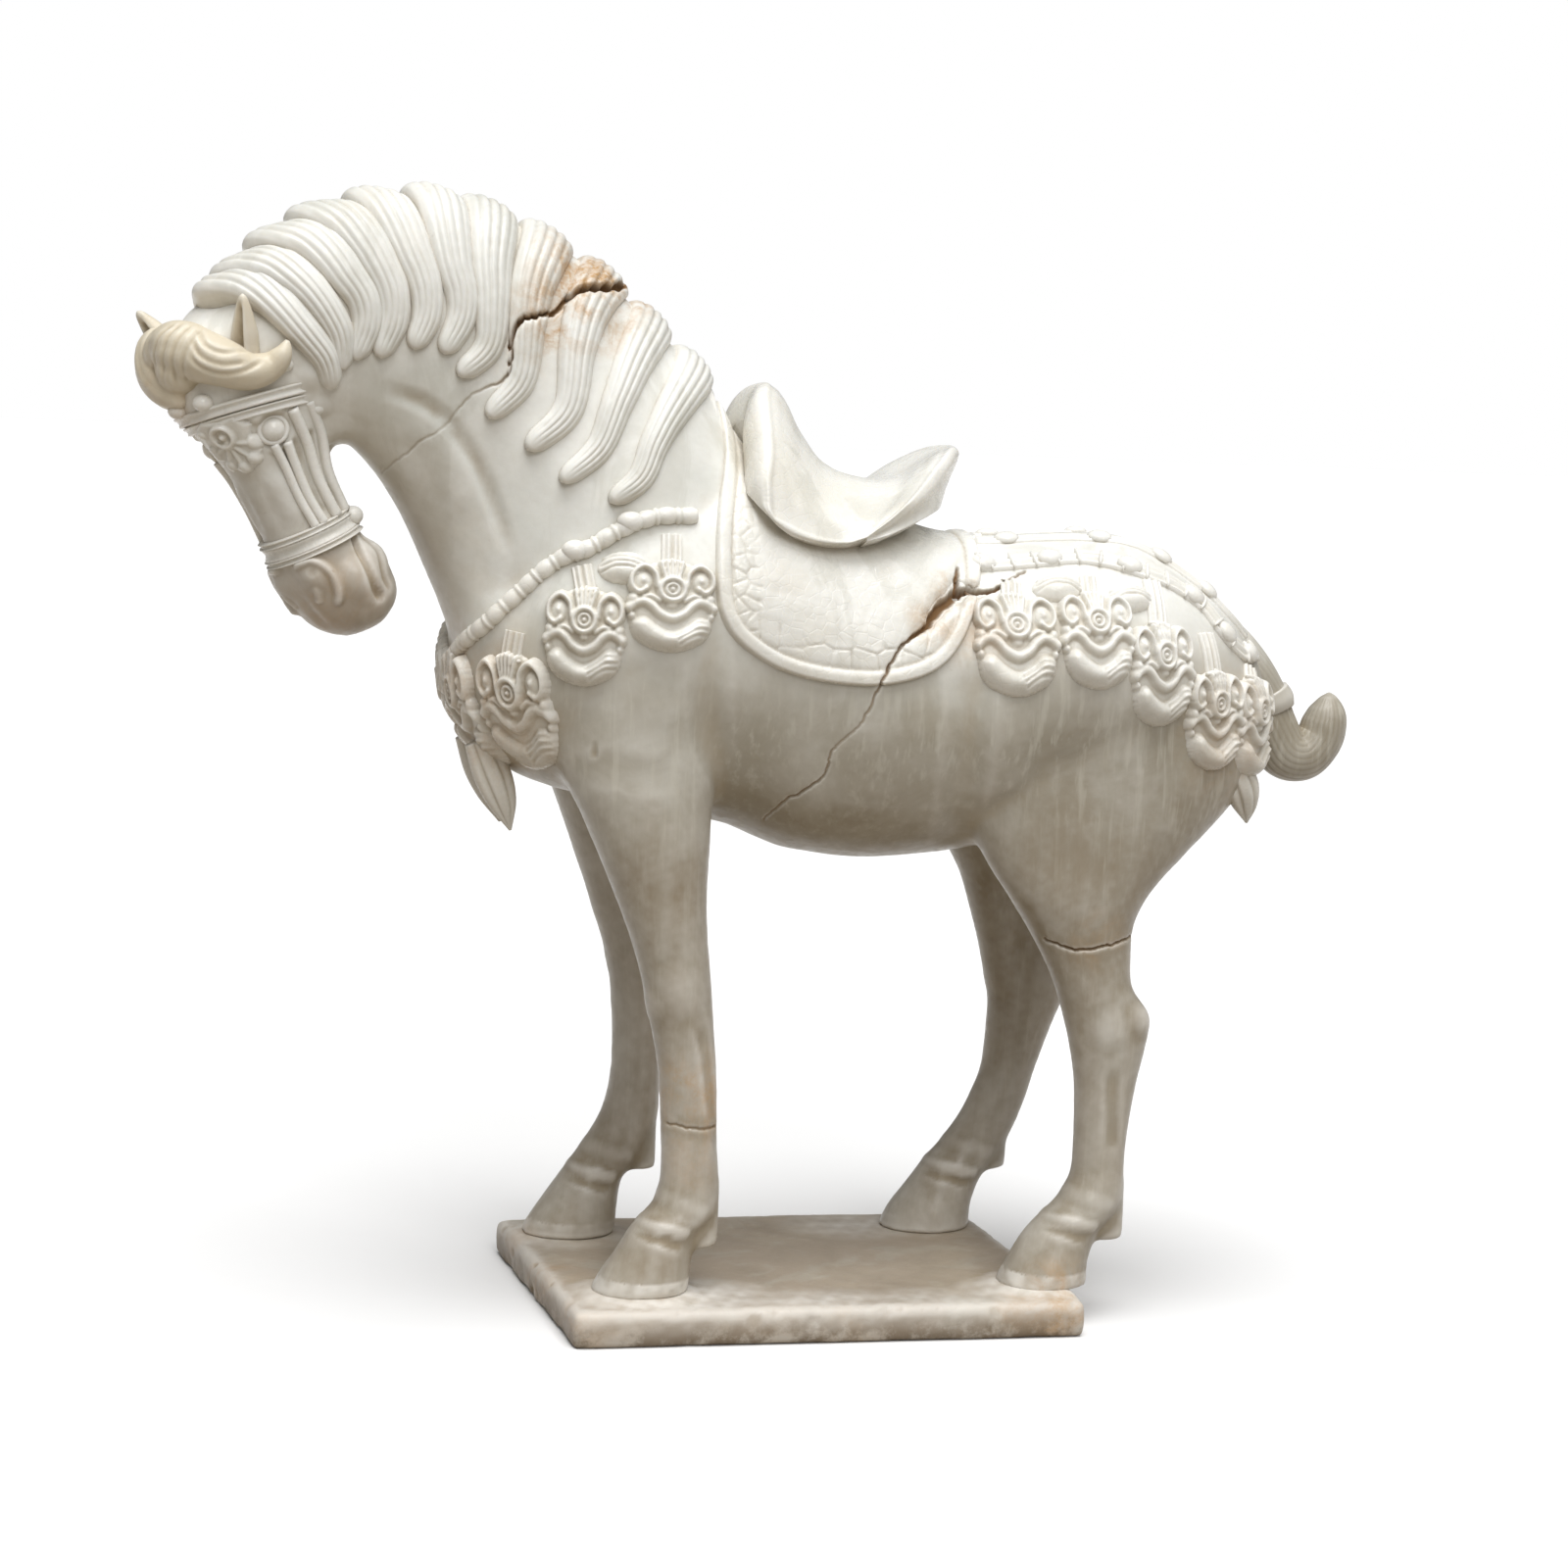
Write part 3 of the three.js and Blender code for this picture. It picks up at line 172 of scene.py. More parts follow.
# Brown spots round the breaks, on the shin, hooves and plinth: centre, radius and strength
STAINS = [
    ((-88, -16, 346), 26, 1.3), ((-98, -24, 338), 18, 1.1), ((-70, -8, 352), 17, 1.2),
    ((-104, -27, 330), 13, 0.5), ((40, -41, 250), 13, 0.9), ((30, -46, 243), 12, 0.6),
    ((46, -44, 238), 18, 0.4), ((-44, -46, 80), 20, 0.6), ((-44, -46, 60), 14, 0.3),
    ((95, -50, 135), 13, 0.3), ((-118, -20, 205), 40, 0.4), ((140, -35, 205), 30, 0.35),
    ((-222, -20, 306), 17, 0.5), ((-165, -30, 245), 20, 0.25), ((84, -66, 6), 26, 0.9),
    ((70, -66, 4), 16, 0.5), ((92, -50, 4), 20, 0.7), ((-88, -60, 3), 20, 0.55),
    ((-92, -10, 3), 24, 0.6), ((-96, 40, 3), 22, 0.5), ((10, -66, 1), 14, 0.35),
    ((-40, -66, 2), 12, 0.3), ((-172, -24, 238), 16, 0.35),
]
# Chalky white spots on the plinth, round the hooves and along its front
CHALK = [
    ((-52, -48, 14), 30, 0.9), ((84, -50, 14), 26, 0.9), ((-80, 40, 14), 26, 0.6),
    ((40, 46, 14), 24, 0.5), ((0, -64, 14), 26, 0.6), ((40, -64, 14), 24, 0.5),
]

# Strokes of the chisel on both sides of the body: line on the near side, radius, height and
# softness of the ends
BODY_STROKES = [
    # The hollow behind the shoulder and the swell before it
    ([(-46, -52, 262), (-47, -51.3, 239), (-45.7, -47.4, 219), (-43.3, -42, 199), (-37, -22, 176)],
     9, -1.3, 0.15),
    ([(-56, -50, 250), (-58, -49, 225), (-56, -47, 200)], 16, 1.4, 0.3),
    # The foot of the shoulder, with a small pit over it
    ([(-89, -33, 187.5), (-77.7, -46.4, 191.7), (-65.7, -49.2, 189.5), (-53.3, -47.6, 192.2)], 8, -0.7, 0.25),
    ([(-82, -44, 199), (-82.3, -44, 196)], 2, -1.2, 0),
    # The side of the chest
    ([(-110, -30, 262), (-104, -36, 235), (-98, -40, 215)], 9, -0.8, 0.3),
    # The hollow before the haunch and the haunch's swell
    ([(43.4, -52.8, 232), (43.3, -52.8, 218), (43.3, -51, 201), (44.4, -42.5, 180.7), (48.9, -18.7, 163.2)],
     10, -1.3, 0.15),
    ([(56, -53, 225), (57, -51, 200), (62, -46, 175)], 15, 1.5, 0.3),
    # The stifle, the back of the thigh and the belly
    ([(66, -44, 150), (70, -45, 138), (76, -42, 128)], 6, -0.5, 0.3),
    ([(118, -46, 175), (112, -44, 160), (108, -42, 148)], 9, -0.7, 0.3),
    ([(-22, -44, 182), (0, -46, 178), (25, -46, 178)], 14, 0.8, 0.3),
]
# Knee, heel and the x of the leg's front for each fore leg, and the hock of each hind leg, all
# written as on the near side
KNEES = [(1, (-52, -46, 116), (-36, -40, 55), -64), (-1, (-56, -47, 116), (-42, -42, 60), -72)]
HOCKS = [(1, (100, -47, 104)), (-1, (96, -49, 104))]
# Rings round a hoof: height above the plinth, height of the stroke and its radius
HOOF_RINGS = [(19.5, -0.55, 2.2), (23.5, 0.65, 3.2), (31, 0.25, 4.0)]
# Strokes on the neck: the groove of the near jaw, the muscle below it and the groove of the off side
NECK_STROKES = [
    ([(-159, -32, 312), (-151, -31, 311.4), (-138, -29.6, 307), (-126, -28.4, 295), (-119.4, -28.6, 284),
      (-115, -29, 274), (-109, -30.5, 255)], 4.5, -0.9, 0.2),
    ([(-150, -30, 303), (-136, -28, 296), (-128, -26, 284), (-124, -25, 268)], 9, 0.8, 0.25),
    ([(-159, 14, 312), (-138, 22, 307), (-119, 26, 284), (-109, 30, 255)], 5, -1.4, 0.15),
]
# Strokes on each half of the head, by distance from the poll and degrees from the cheek. One
# place alone is a bump
HEAD_STROKES = [
    # The socket of the eye, the brow and the lower lid
    ([(45.5, 38)], 7.5, -2.0, 0),
    ([(41, 22), (38.5, 38), (42, 52)], 3.0, 1.3, 0.2),
    ([(51, 26), (52.5, 38), (50, 48)], 2.4, 0.8, 0.2),
    # The temple and the cheek
    ([(34, -4)], 7, 1.8, 0),
    ([(44, -8)], 6, 1.6, 0),
    ([(53, -38)], 12, 2.6, 0),
    # The grooves between the cheek straps, the jaw and the side of the nose
    *[([(50, high), (60, (2 * high + low) / 3), (70, (high + 2 * low) / 3), (79, low)], 1.8, -1.3, 0.12)
      for high, low in ((36, 23), (22, 7), (4, -17))],
    ([(44, -18), (56, -30), (66, -38), (77, -44)], 2.6, -1.6, 0.15),
    ([(60, -58), (68, -52), (78, -46)], 4, -1.0, 0.2),
    ([(56, 56), (68, 52), (79, 48)], 6, 0.9, 0.3),
    # The nostril and its rim
    ([(94, 60)], 8.5, 2.3, 0),
    ([(89, 82), (89, 66), (90, 50), (96, 42), (103, 46), (107, 58)], 2.4, 1.9, 0.12),
    ([(93, 58)], 2.8, -2.2, 0),
    ([(97, 64), (101, 66), (104, 72)], 2.0, 0.9, 0.2),
    # The mouth, the chin and the upper lip
    ([(84, -30), (90, -14), (98, 4), (106, 8), (112, 2)], 2.6, -2.3, 0.08),
    ([(88, -36), (96, -24), (104, -14), (111, -14)], 1.8, -0.9, 0.15),
    ([(90, -52), (98, -44), (106, -36)], 1.8, -0.8, 0.15),
    ([(102, 16)], 10, 2.4, 0),
    ([(98, -28)], 9, 1.2, 0),
]
# Strokes down the middle of the face: the bridge of the nose, the parting of the nostrils and the forehead
FACE_STROKES = [
    ([(58, 90), (70, 90), (80, 90)], 7, 0.6, 0.3),
    ([(96, 90), (105, 90), (114, 90)], 3.5, -0.8, 0.3),
    ([(30, 90)], 12, 1.0, 0),
]
# Where neck, legs and head grow out of the barrel, the stone is smoothed most: centre and radius
SOFT_JOINTS = [((-62, 0, 200), 62), ((100, 0, 190), 72), ((-115, 0, 215), 48), ((-185, -14, 318), 46),
               ((-30, 0, 290), 40)]


# Numbers and lines

def monotone(xs, ys, at):
    """A smooth curve through stations that never swings past them."""
    xs, ys = np.asarray(xs, float), np.asarray(ys, float)
    step = np.diff(xs)
    rise = np.diff(ys) / step
    slope = np.empty(len(xs))
    slope[0], slope[-1] = rise[0], rise[-1]
    inner = rise[:-1] * rise[1:] > 0
    w1, w2 = 2 * step[1:] + step[:-1], step[1:] + 2 * step[:-1]
    with np.errstate(divide="ignore", invalid="ignore"):
        mean = (w1 + w2) / (w1 / rise[:-1] + w2 / rise[1:])
    slope[1:-1] = np.where(inner, mean, 0)
    k = np.clip(np.searchsorted(xs, at, side="right") - 1, 0, len(xs) - 2)
    t = np.clip((at - xs[k]) / step[k], 0, 1)
    h = step[k]
    return ((1 + 2 * t) * (1 - t) ** 2 * ys[k] + t * (1 - t) ** 2 * h * slope[k]
            + t * t * (3 - 2 * t) * ys[k + 1] + t * t * (t - 1) * h * slope[k + 1])


def columns(xs, rows, at):
    """Smooth curves through several columns of stations."""
    return np.stack([monotone(xs, column, at) for column in np.asarray(rows, float).T], 1)


def run_of(points):
    """How far along a line each of its points lies."""
    return np.r_[0, np.cumsum(np.linalg.norm(np.diff(points, axis=0), axis=1))]


def spline(points, count):
    """A Catmull-Rom curve through points, sampled evenly along its length."""
    p = np.asarray(points, float)
    p = np.vstack([2 * p[0] - p[1], p, 2 * p[-1] - p[-2]])
    fine = []
    for k in range(1, len(p) - 2):
        t = np.linspace(0, 1, 17)[:-1, None]
        a, b, c, d = p[k - 1], p[k], p[k + 1], p[k + 2]
        fine.append(0.5 * (2 * b + (c - a) * t + (2 * a - 5 * b + 4 * c - d) * t ** 2
                           + (3 * b - a - 3 * c + d) * t ** 3))
    fine = np.vstack(fine + [p[-2][None]])
    far = run_of(fine)
    at = np.linspace(0, far[-1], count)
    return np.stack([np.interp(at, far, fine[:, k]) for k in range(fine.shape[1])], 1)


def unit(v):
    return v / np.maximum(np.linalg.norm(v, axis=-1, keepdims=True), 1e-9)


def smoothstep(low, high, value):
    t = np.clip((value - low) / (high - low), 0, 1)
    return t * t * (3 - 2 * t)


def path_distance(points, path):
    """Distance from each point to a line of points, and the share of the line where it is nearest."""
    best = np.full(len(points), 1e9)
    along = np.zeros(len(points))
    for k in range(len(path) - 1):
        a, b = path[k], path[k + 1]
        ab = b - a
        t = np.clip((points - a) @ ab / max(ab @ ab, 1e-9), 0, 1)
        d = np.linalg.norm(points - (a + t[:, None] * ab), axis=1)
        nearer = d < best
        best[nearer] = d[nearer]
        along[nearer] = (k + t[nearer]) / (len(path) - 1)
    return best, along


def polygon_distance(points, corners):
    """Signed distance to a closed outline: below zero inside it."""
    corners = np.asarray(corners, float)
    best = np.full(len(points), 1e9)
    inside = np.zeros(len(points), bool)
    for a, b in zip(corners, np.roll(corners, -1, axis=0)):
        ab = b - a
        t = np.clip((points - a) @ ab / max(ab @ ab, 1e-9), 0, 1)
        best = np.minimum(best, np.linalg.norm(points - (a + t[:, None] * ab), axis=1))
        crosses = (a[1] > points[:, 1]) != (b[1] > points[:, 1])
        rise = b[1] - a[1] if b[1] != a[1] else 1e-9
        inside ^= crosses & (points[:, 0] < (b[0] - a[0]) * (points[:, 1] - a[1]) / rise + a[0])
    return np.where(inside, -best, best)


def smoothed(grid, times):
    """Evens out a grid of values in place, its rim left as it is."""
    for _ in range(times):
        grid[1:-1, 1:-1] = (grid[:-2, 1:-1] + grid[2:, 1:-1] + grid[1:-1, :-2] + grid[1:-1, 2:]) / 4
    return grid


def blotches(points, spots, squash=(1, 1, 1)):
    """The strongest of some round spots at each point."""
    total = np.zeros(len(points))
    for centre, radius, strength in spots:
        distance = np.linalg.norm((points - np.array(centre, float)) * squash, axis=1)
        total = np.maximum(total, strength * np.clip(1 - (distance / radius) ** 2, 0, None))
    return total


def ripples(points, scale, seed, layers=3):
    """Smooth uneven noise from crossed waves, between about -1 and 1."""
    draw = np.random.default_rng(SEED + seed)
    total = np.zeros(len(points))
    for layer in range(layers):
        for _ in range(4):
            direction = unit(draw.normal(size=3)) * (2 * np.pi / scale) * 1.9 ** layer
            total += np.sin(points @ direction + draw.uniform(0, 2 * np.pi)) / 1.7 ** layer
    return total / 5


# Meshes

def rings_of(centre, across, up, sides):
    """Oval rings round a line of centres."""
    angle = np.linspace(0, 2 * np.pi, sides, endpoint=False)
    return (centre[:, None] + across[:, None] * np.cos(angle)[None, :, None]
            + up[:, None] * np.sin(angle)[None, :, None])


def merged(parts):
    """One list of points and faces from several."""
    points, faces, start = [], [], 0
    for part_points, part_faces in parts:
        part_points = np.asarray(part_points, float).reshape(-1, 3)
        points.append(part_points)
        faces += [[n + start for n in face] for face in part_faces]
        start += len(part_points)
    return np.vstack(points), faces


def closed_grid(loops):
    """A skin over rings of points, closed along them and round them."""
    count, sides, _ = loops.shape
    index = np.arange(count * sides).reshape(count, sides)
    above = np.roll(index, -1, 0)
    faces = np.stack([index, np.roll(index, -1, 1), np.roll(above, -1, 1), above], -1)
    return loops.reshape(-1, 3), faces.reshape(-1, 4).tolist()


def tube(loops):
    """A skin over rings of points, with a face on each end."""
    count, sides, _ = loops.shape
    points, faces = closed_grid(loops)
    first = list(range(sides))
    last = [(count - 1) * sides + n for n in first]
    return points, faces[:-sides] + [first[::-1], last]


def ball(centre, radii, axes=None, rings=14, sides=24):
    """An egg shape with its own axes."""
    axes = np.eye(3) if axes is None else np.asarray(axes, float)
    polar = np.linspace(0.06, np.pi - 0.06, rings)[:, None]
    angle = np.linspace(0, 2 * np.pi, sides, endpoint=False)
    local = np.stack([
        np.sin(polar) * np.cos(angle),
        np.sin(polar) * np.sin(angle),
        np.repeat(np.cos(polar), sides, 1),
    ], -1) * np.asarray(radii, float)
    return tube(np.asarray(centre, float) + local @ axes)


def mesh_object(name, points, faces):
    """A new object, smooth and facing outward, from points in millimetres."""
    mesh = bpy.data.meshes.new(name)
    mesh.from_pydata((np.asarray(points) * MM).tolist(), [], [list(f) for f in faces])
    work = bmesh.new()
    work.from_mesh(mesh)
    bmesh.ops.recalc_face_normals(work, faces=work.faces[:])
    work.to_mesh(mesh)
    work.free()
    mesh.polygons.foreach_set("use_smooth", [True] * len(mesh.polygons))
    obj = bpy.data.objects.new(name, mesh)
    bpy.context.scene.collection.objects.link(obj)
    return obj


def remeshed(obj, voxel):
    """Joins overlapping closed shapes of an object into one even skin."""
    change = obj.modifiers.new("one_skin", "REMESH")
    change.mode = "VOXEL"
    change.voxel_size = voxel * MM
    change.use_smooth_shade = True
    graph = bpy.context.evaluated_depsgraph_get()
    mesh = bpy.data.meshes.new_from_object(obj.evaluated_get(graph))
    old = obj.data
    obj.modifiers.clear()
    obj.data = mesh
    bpy.data.meshes.remove(old)
    return obj


def get_points(mesh):
    points = np.empty(len(mesh.vertices) * 3)
    mesh.vertices.foreach_get("co", points)
    return points.reshape(-1, 3) / MM


def set_points(mesh, points):
    mesh.vertices.foreach_set("co", (points * MM).ravel())
    mesh.update()


def get_edges(mesh):
    edges = np.empty(len(mesh.edges) * 2, int)
    mesh.edges.foreach_get("vertices", edges)
    return edges.reshape(-1, 2)


def get_normals(mesh):
    normals = np.empty(len(mesh.vertices) * 3)
    mesh.vertices.foreach_get("normal", normals)
    return normals.reshape(-1, 3)


def relaxed(points, edges, times, weight=1.0):
    """Draws each point toward its neighbours, by its weight, a number of times."""
    count = len(points)
    degree = np.maximum(np.bincount(edges.ravel(), minlength=count), 1)[:, None]
    weight = np.broadcast_to(np.asarray(weight, float), (count,))[:, None]
    for _ in range(times):
        total = np.stack([
            np.bincount(edges[:, 0], points[edges[:, 1], k], count)
            + np.bincount(edges[:, 1], points[edges[:, 0], k], count) for k in range(3)
        ], 1)
        points = points + (total / degree - points) * weight
    return points


def refine(mesh, chosen, cuts):
    """Splits the faces round the chosen points into smaller ones."""
    work = bmesh.new()
    work.from_mesh(mesh)
    work.verts.ensure_lookup_table()
    edges = [e for e in work.edges if chosen[e.verts[0].index] and chosen[e.verts[1].index]]
    bmesh.ops.subdivide_edges(work, edges=edges, cuts=cuts, use_grid_fill=True)
    bmesh.ops.triangulate(work, faces=[f for f in work.faces if len(f.verts) > 4])
    work.to_mesh(mesh)
    work.free()
    mesh.polygons.foreach_set("use_smooth", [True] * len(mesh.polygons))
    mesh.update()


class Carving:
    """The points of a mesh while strokes of the chisel move them."""

    def __init__(self, obj):
        self.obj = obj
        self.points = get_points(obj.data)
        self.crack = np.zeros(len(self.points))
        self.refresh()

    def refresh(self):
        """Puts the moved points into the mesh and takes its new outward directions."""
        set_points(self.obj.data, self.points)
        self.normals = get_normals(self.obj.data)

    def ripple(self, *waves):
        """Makes the skin uneven: height, length and seed of each set of waves."""
        total = sum(height * ripples(self.points, length, seed) for height, length, seed in waves)
        self.points += self.normals * total[:, None]

    def near(self, path, radius):
        """The points in a box round a line."""
        low, high = path.min(0) - radius, path.max(0) + radius
        return np.where(((self.points >= low) & (self.points <= high)).all(1))[0]

    def stroke(self, path, radius, height, taper=0.0, smooth=True):
        """Raises, or with a height below zero sinks, a band along a line."""
        path = np.asarray(path, float)
        path = spline(path, max(12, 4 * len(path))) if smooth and len(path) > 2 else path
        index = self.near(path, radius)
        distance, along = path_distance(self.points[index], path)
        bell = np.clip(1 - (distance / radius) ** 2, 0, None) ** 2
        if taper:
            bell *= smoothstep(0, taper, along) * smoothstep(0, taper, 1 - along)
        self.points[index] += self.normals[index] * (height * bell)[:, None]

    def bump(self, centre, radius, height):
        """Raises, or with a height below zero sinks, a round spot."""
        centre = np.asarray(centre, float)
        index = self.near(centre[None], radius)
        distance = np.linalg.norm(self.points[index] - centre, axis=1)
        bell = np.clip(1 - (distance / radius) ** 2, 0, None) ** 2
        self.points[index] += self.normals[index] * (height * bell)[:, None]

    def split(self, line, depth=2.2, seed=0, side=1, inward=None):
        """Cuts an old break: an uneven slit with chipped lips, laid out as seen from one side."""
        turned = np.array((1, side, 1))
        path = spline(np.asarray(line, float) * np.append(turned, 1), 10 * len(line))
        path[:, :3] += 0.5 * np.stack([ripples(path[:, :3], 5, seed + k) for k in range(3)], 1)
        view = NEAR_VIEW * turned
        index = self.near(path[:, :3], 16)
        index = index[self.normals[index] @ view > -0.35]
        points = self.points[index]

        def seen(p):
            return p - (p @ view)[:, None] * view

        distance, along = path_distance(seen(points), seen(path[:, :3]))
        share = np.linspace(0, 1, len(path))
        behind = np.interp(along, share, path[:, :3] @ view) - points @ view
        opening = np.interp(along, share, path[:, 3])
        width = np.maximum(opening, 0.62) * (1 + 0.30 * ripples(points, 4, seed + 9))
        width = np.maximum(width * (np.abs(behind + 2) < 11), 0.05)
        cut = 1 - smoothstep(0.25, 1.0, distance / width)
        chips = 1 - smoothstep(0.5, 2.6, distance / width)
        deep = depth * cut * np.clip(1.2 * opening - 0.15, 0.10, 1.5) + 0.3 * chips * np.clip(opening, 0, 2)
        deep = deep * smoothstep(-0.15, 0.35, self.normals[index] @ view)
        away = self.normals[index] if inward is None else unit(self.normals[index] + view * inward)
        self.points[index] -= away * deep[:, None]
        darkness = np.clip(opening / 0.85, 0.08, 1) ** 1.25
        self.crack[index] = np.maximum(self.crack[index], cut * darkness)

    def all_breaks(self):
        """Cuts every break on the near side and its match on the off side."""
        for number, line in enumerate(BREAKS):
            self.split(line, seed=20 * number)
            self.split(line, seed=20 * number + 7, side=-1)

    def finish(self):
        self.refresh()
        paint_marks(self.obj, self.crack)


def paint_marks(obj, crack=None):
    """Stores, for the marble, how sunk, how proud or chalky, how stained and how broken each point is; proud
    edges are lit with a painted highlight.
    """
    mesh = obj.data
    points, edges = get_points(mesh), get_edges(mesh)
    normals = get_normals(mesh)
    near = relaxed(points, edges, 6)
    wide = relaxed(near, edges, 24)
    hollow = np.einsum("ij,ij->i", near - points, normals)
    hollow_wide = np.einsum("ij,ij->i", wide - points, normals)
    sunk = np.clip(hollow / 0.30 - 0.05, 0, 1) + 0.35 * np.clip(hollow_wide / 1.6 - 0.05, 0, 1)
    sunk = np.clip(sunk, 0, 1)
    # Raised edges, which the marble paints lighter as a painted highlight; on the plinth, chalk joins them
    # below
    proud = np.clip(-hollow / 0.28 - 0.1, 0, 1)
    chalk = blotches(points, CHALK, (0.7, 1, 1)) * (0.6 + 0.4 * ripples(points, 9, 71))
    chalky = np.where(points[:, 2] < PLINTH_TOP + 6, 1.6 * chalk, 0)
    proud = np.maximum(0.7 * proud, chalky.clip(0, 1))
    crack = np.zeros(len(points)) if crack is None else crack
    marks = np.stack([sunk, proud, blotches(points, STAINS), crack], 1)
    layer = mesh.attributes.new("marks", "FLOAT_COLOR", "POINT")
    layer.data.foreach_set("color", marks.astype(np.float32).ravel())


def add_piece(obj, slot, nodes):
    """Gives a finished piece its marble and its body, and hides the solids that it stands for."""
    obj.data.materials.clear()
    obj.data.materials.append(stone(slot))
    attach(obj, "root")
    if nodes:
        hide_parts(*nodes)
    return obj


def dress(name, parts, slot, nodes):
    """Makes one finished piece of a few closed shapes."""
    obj = mesh_object(name, *merged(parts))
    paint_marks(obj)
    return add_piece(obj, slot, nodes)


# The stone body

def barrel_rings(count=70, sides=56):
    x = np.linspace(BARREL[0, 0], BARREL[-1, 0], count)
    low, high, half = columns(BARREL[:, 0], BARREL[:, 1:], x).T
    zero = np.zeros(count)
    return rings_of(np.stack([x, zero, (low + high) / 2], 1), np.stack([zero, half, zero], 1),
                    np.stack([zero, zero, (high - low) / 2], 1), sides)


def neck_at(place):
    """Throat, crest, half width and lean of the neck at a place counted in stations."""
    place = np.clip(np.atleast_1d(place), 0, len(NECK) - 1)
    values = columns(np.arange(len(NECK)), NECK, place)
    low = np.stack([values[:, 0], values[:, 5], values[:, 1]], 1)
    high = np.stack([values[:, 2], values[:, 5], values[:, 3]], 1)
    return low, high, values[:, 4]


def neck_point(place, turn, lift=0.0):
    """A point on the neck and its outward direction. A turn of 0 is the crest, above 0 the near side."""
    low, high, half = neck_at(place)
    up = (high - low) / 2
    middle = (high + low) / 2
    reach = np.linalg.norm(up, axis=1, keepdims=True)
    turn = np.atleast_1d(turn)[:, None]
    across = np.array((0.0, -1.0, 0.0))
    point = middle + up * np.cos(turn) + across * half[:, None] * np.sin(turn)
    out = unit(up / reach * np.cos(turn) / reach + across * np.sin(turn) / half[:, None])
    return point + out * lift, out


def neck_seat(x, z):
    """The neck's place and turn under a point of the side view, on the near side."""
    start, end = 0.0, len(NECK) - 1.0
    for _ in range(26):
        middle = (start + end) / 2
        low, high, _half = neck_at(middle)
        side = (high[0, 0] - low[0, 0]) * (z - low[0, 2]) - (high[0, 2] - low[0, 2]) * (x - low[0, 0])
        if side > 0:
            start = middle
        else:
            end = middle
    low, high, _half = neck_at(start)
    along = high[0] - low[0]
    share = ((x - low[0, 0]) * along[0] + (z - low[0, 2]) * along[2]) / (along @ along)
    return start, float(np.arccos(np.clip(2 * share - 1, -1, 1)))


def neck_rings(count=46, sides=56):
    low, high, half = neck_at(np.linspace(0, len(NECK) - 1, count))
    across = np.stack([0 * half, half, 0 * half], 1)
    return rings_of((low + high) / 2, across, (high - low) / 2, sides)


def head_at(distance):
    """Middle, half width and half depth of the head at a distance from the poll."""
    distance = np.clip(np.atleast_1d(distance), HEAD[0, 0], HEAD[-1, 0])
    front, back, half = columns(HEAD[:, 0], HEAD[:, 1:], distance).T
    middle = POLL + DOWN * distance[:, None] + FACE * ((front + back) / 2)[:, None]
    return middle, half, (front - back) / 2


def head_point(distance, degrees, lift=0.0):
    """A point on the head: degrees count from the near cheek (0) over the face (90) to the off cheek."""
    middle, half, depth = head_at(distance)
    turn = np.radians(np.atleast_1d(degrees))[:, None]
    point = middle + NEAR * half[:, None] * np.cos(turn) + FACE * depth[:, None] * np.sin(turn)
    out = unit(NEAR * np.cos(turn) / half[:, None] + FACE * np.sin(turn) / depth[:, None])
    return point + out * lift, out


def head_rings(count=60, sides=56):
    middle, half, depth = head_at(np.linspace(HEAD[0, 0], HEAD[-1, 0], count))
    return rings_of(middle, NEAR * half[:, None], FACE * depth[:, None], sides)


def leg_rings(stations, count=90, sides=36):
    height = np.linspace(stations[0, 0], stations[-1, 0], count)
    front, back, middle, half = columns(stations[:, 0], stations[:, 1:], height).T
    zero = np.zeros(count)
    return rings_of(np.stack([(front + back) / 2, middle, PLINTH_TOP + height], 1),
                    np.stack([(back - front) / 2, zero, zero], 1), np.stack([zero, half, zero], 1), sides)


def tuft_rings(back, middle, low, high):
    height = np.linspace(low, high, 14)
    share = (height - low) / (high - low)
    depth = np.interp(share, [0, 0.5, 1], [6, 6, 4])
    width = np.interp(share, [0, 0.5, 1], [5.5, 5, 2.8])
    zero = np.zeros(14)
    centre = np.stack([back - depth, middle + zero, height], 1)
    return rings_of(centre, np.stack([depth, zero, zero], 1), np.stack([zero, width, zero], 1), 20)


def carve_body(shape):
    """Folds, muscles, joints and hooves of the stone horse."""
    for _label, side in SIDES:
        turned = np.array((1, side, 1))
        for line, radius, height, soft in BODY_STROKES:
            shape.stroke(np.array(line, float) * turned, radius, height, soft)
    for side, knee, heel, front in KNEES:
        turned = np.array((1, side, 1))
        shape.bump(np.array(knee) * turned, 13, 0.9)
        shape.bump((np.array(knee) + (-9, 6, -6)) * turned, 9, 0.8)
        shape.stroke(np.array([(knee[0] + 8, -46, 108), (heel[0] - 3, -46, 88), heel]) * turned, 4, -0.8, 0.2)
        pastern = np.array([(front + 14, -48, 36), (front + 10, -49, 33), (front + 4, -44, 32)])
        shape.stroke(pastern * turned, 3.2, -0.9, 0.2)
    for side, hock in HOCKS:
        turned = np.array((1, side, 1))
        shape.bump(np.array(hock) * turned, 10, 0.9)
        shape.bump((np.array(hock) + (12, 2, 3)) * turned, 8, 1.0)
        sinew = np.array([(hock[0] + 2, -47, 92), (hock[0] + 3, -46, 76), (hock[0] + 4, -46, 60)])
        shape.stroke(sinew * turned, 4, -0.7, 0.2)
    for stations in (NEAR_FORE, OFF_FORE, NEAR_HIND, OFF_HIND):
        carve_hoof(shape, stations)
    for line, radius, height, soft in NECK_STROKES:
        shape.stroke(line, radius, height, soft)
    shape.bump((-120, -24, 240), 14, 0.9)


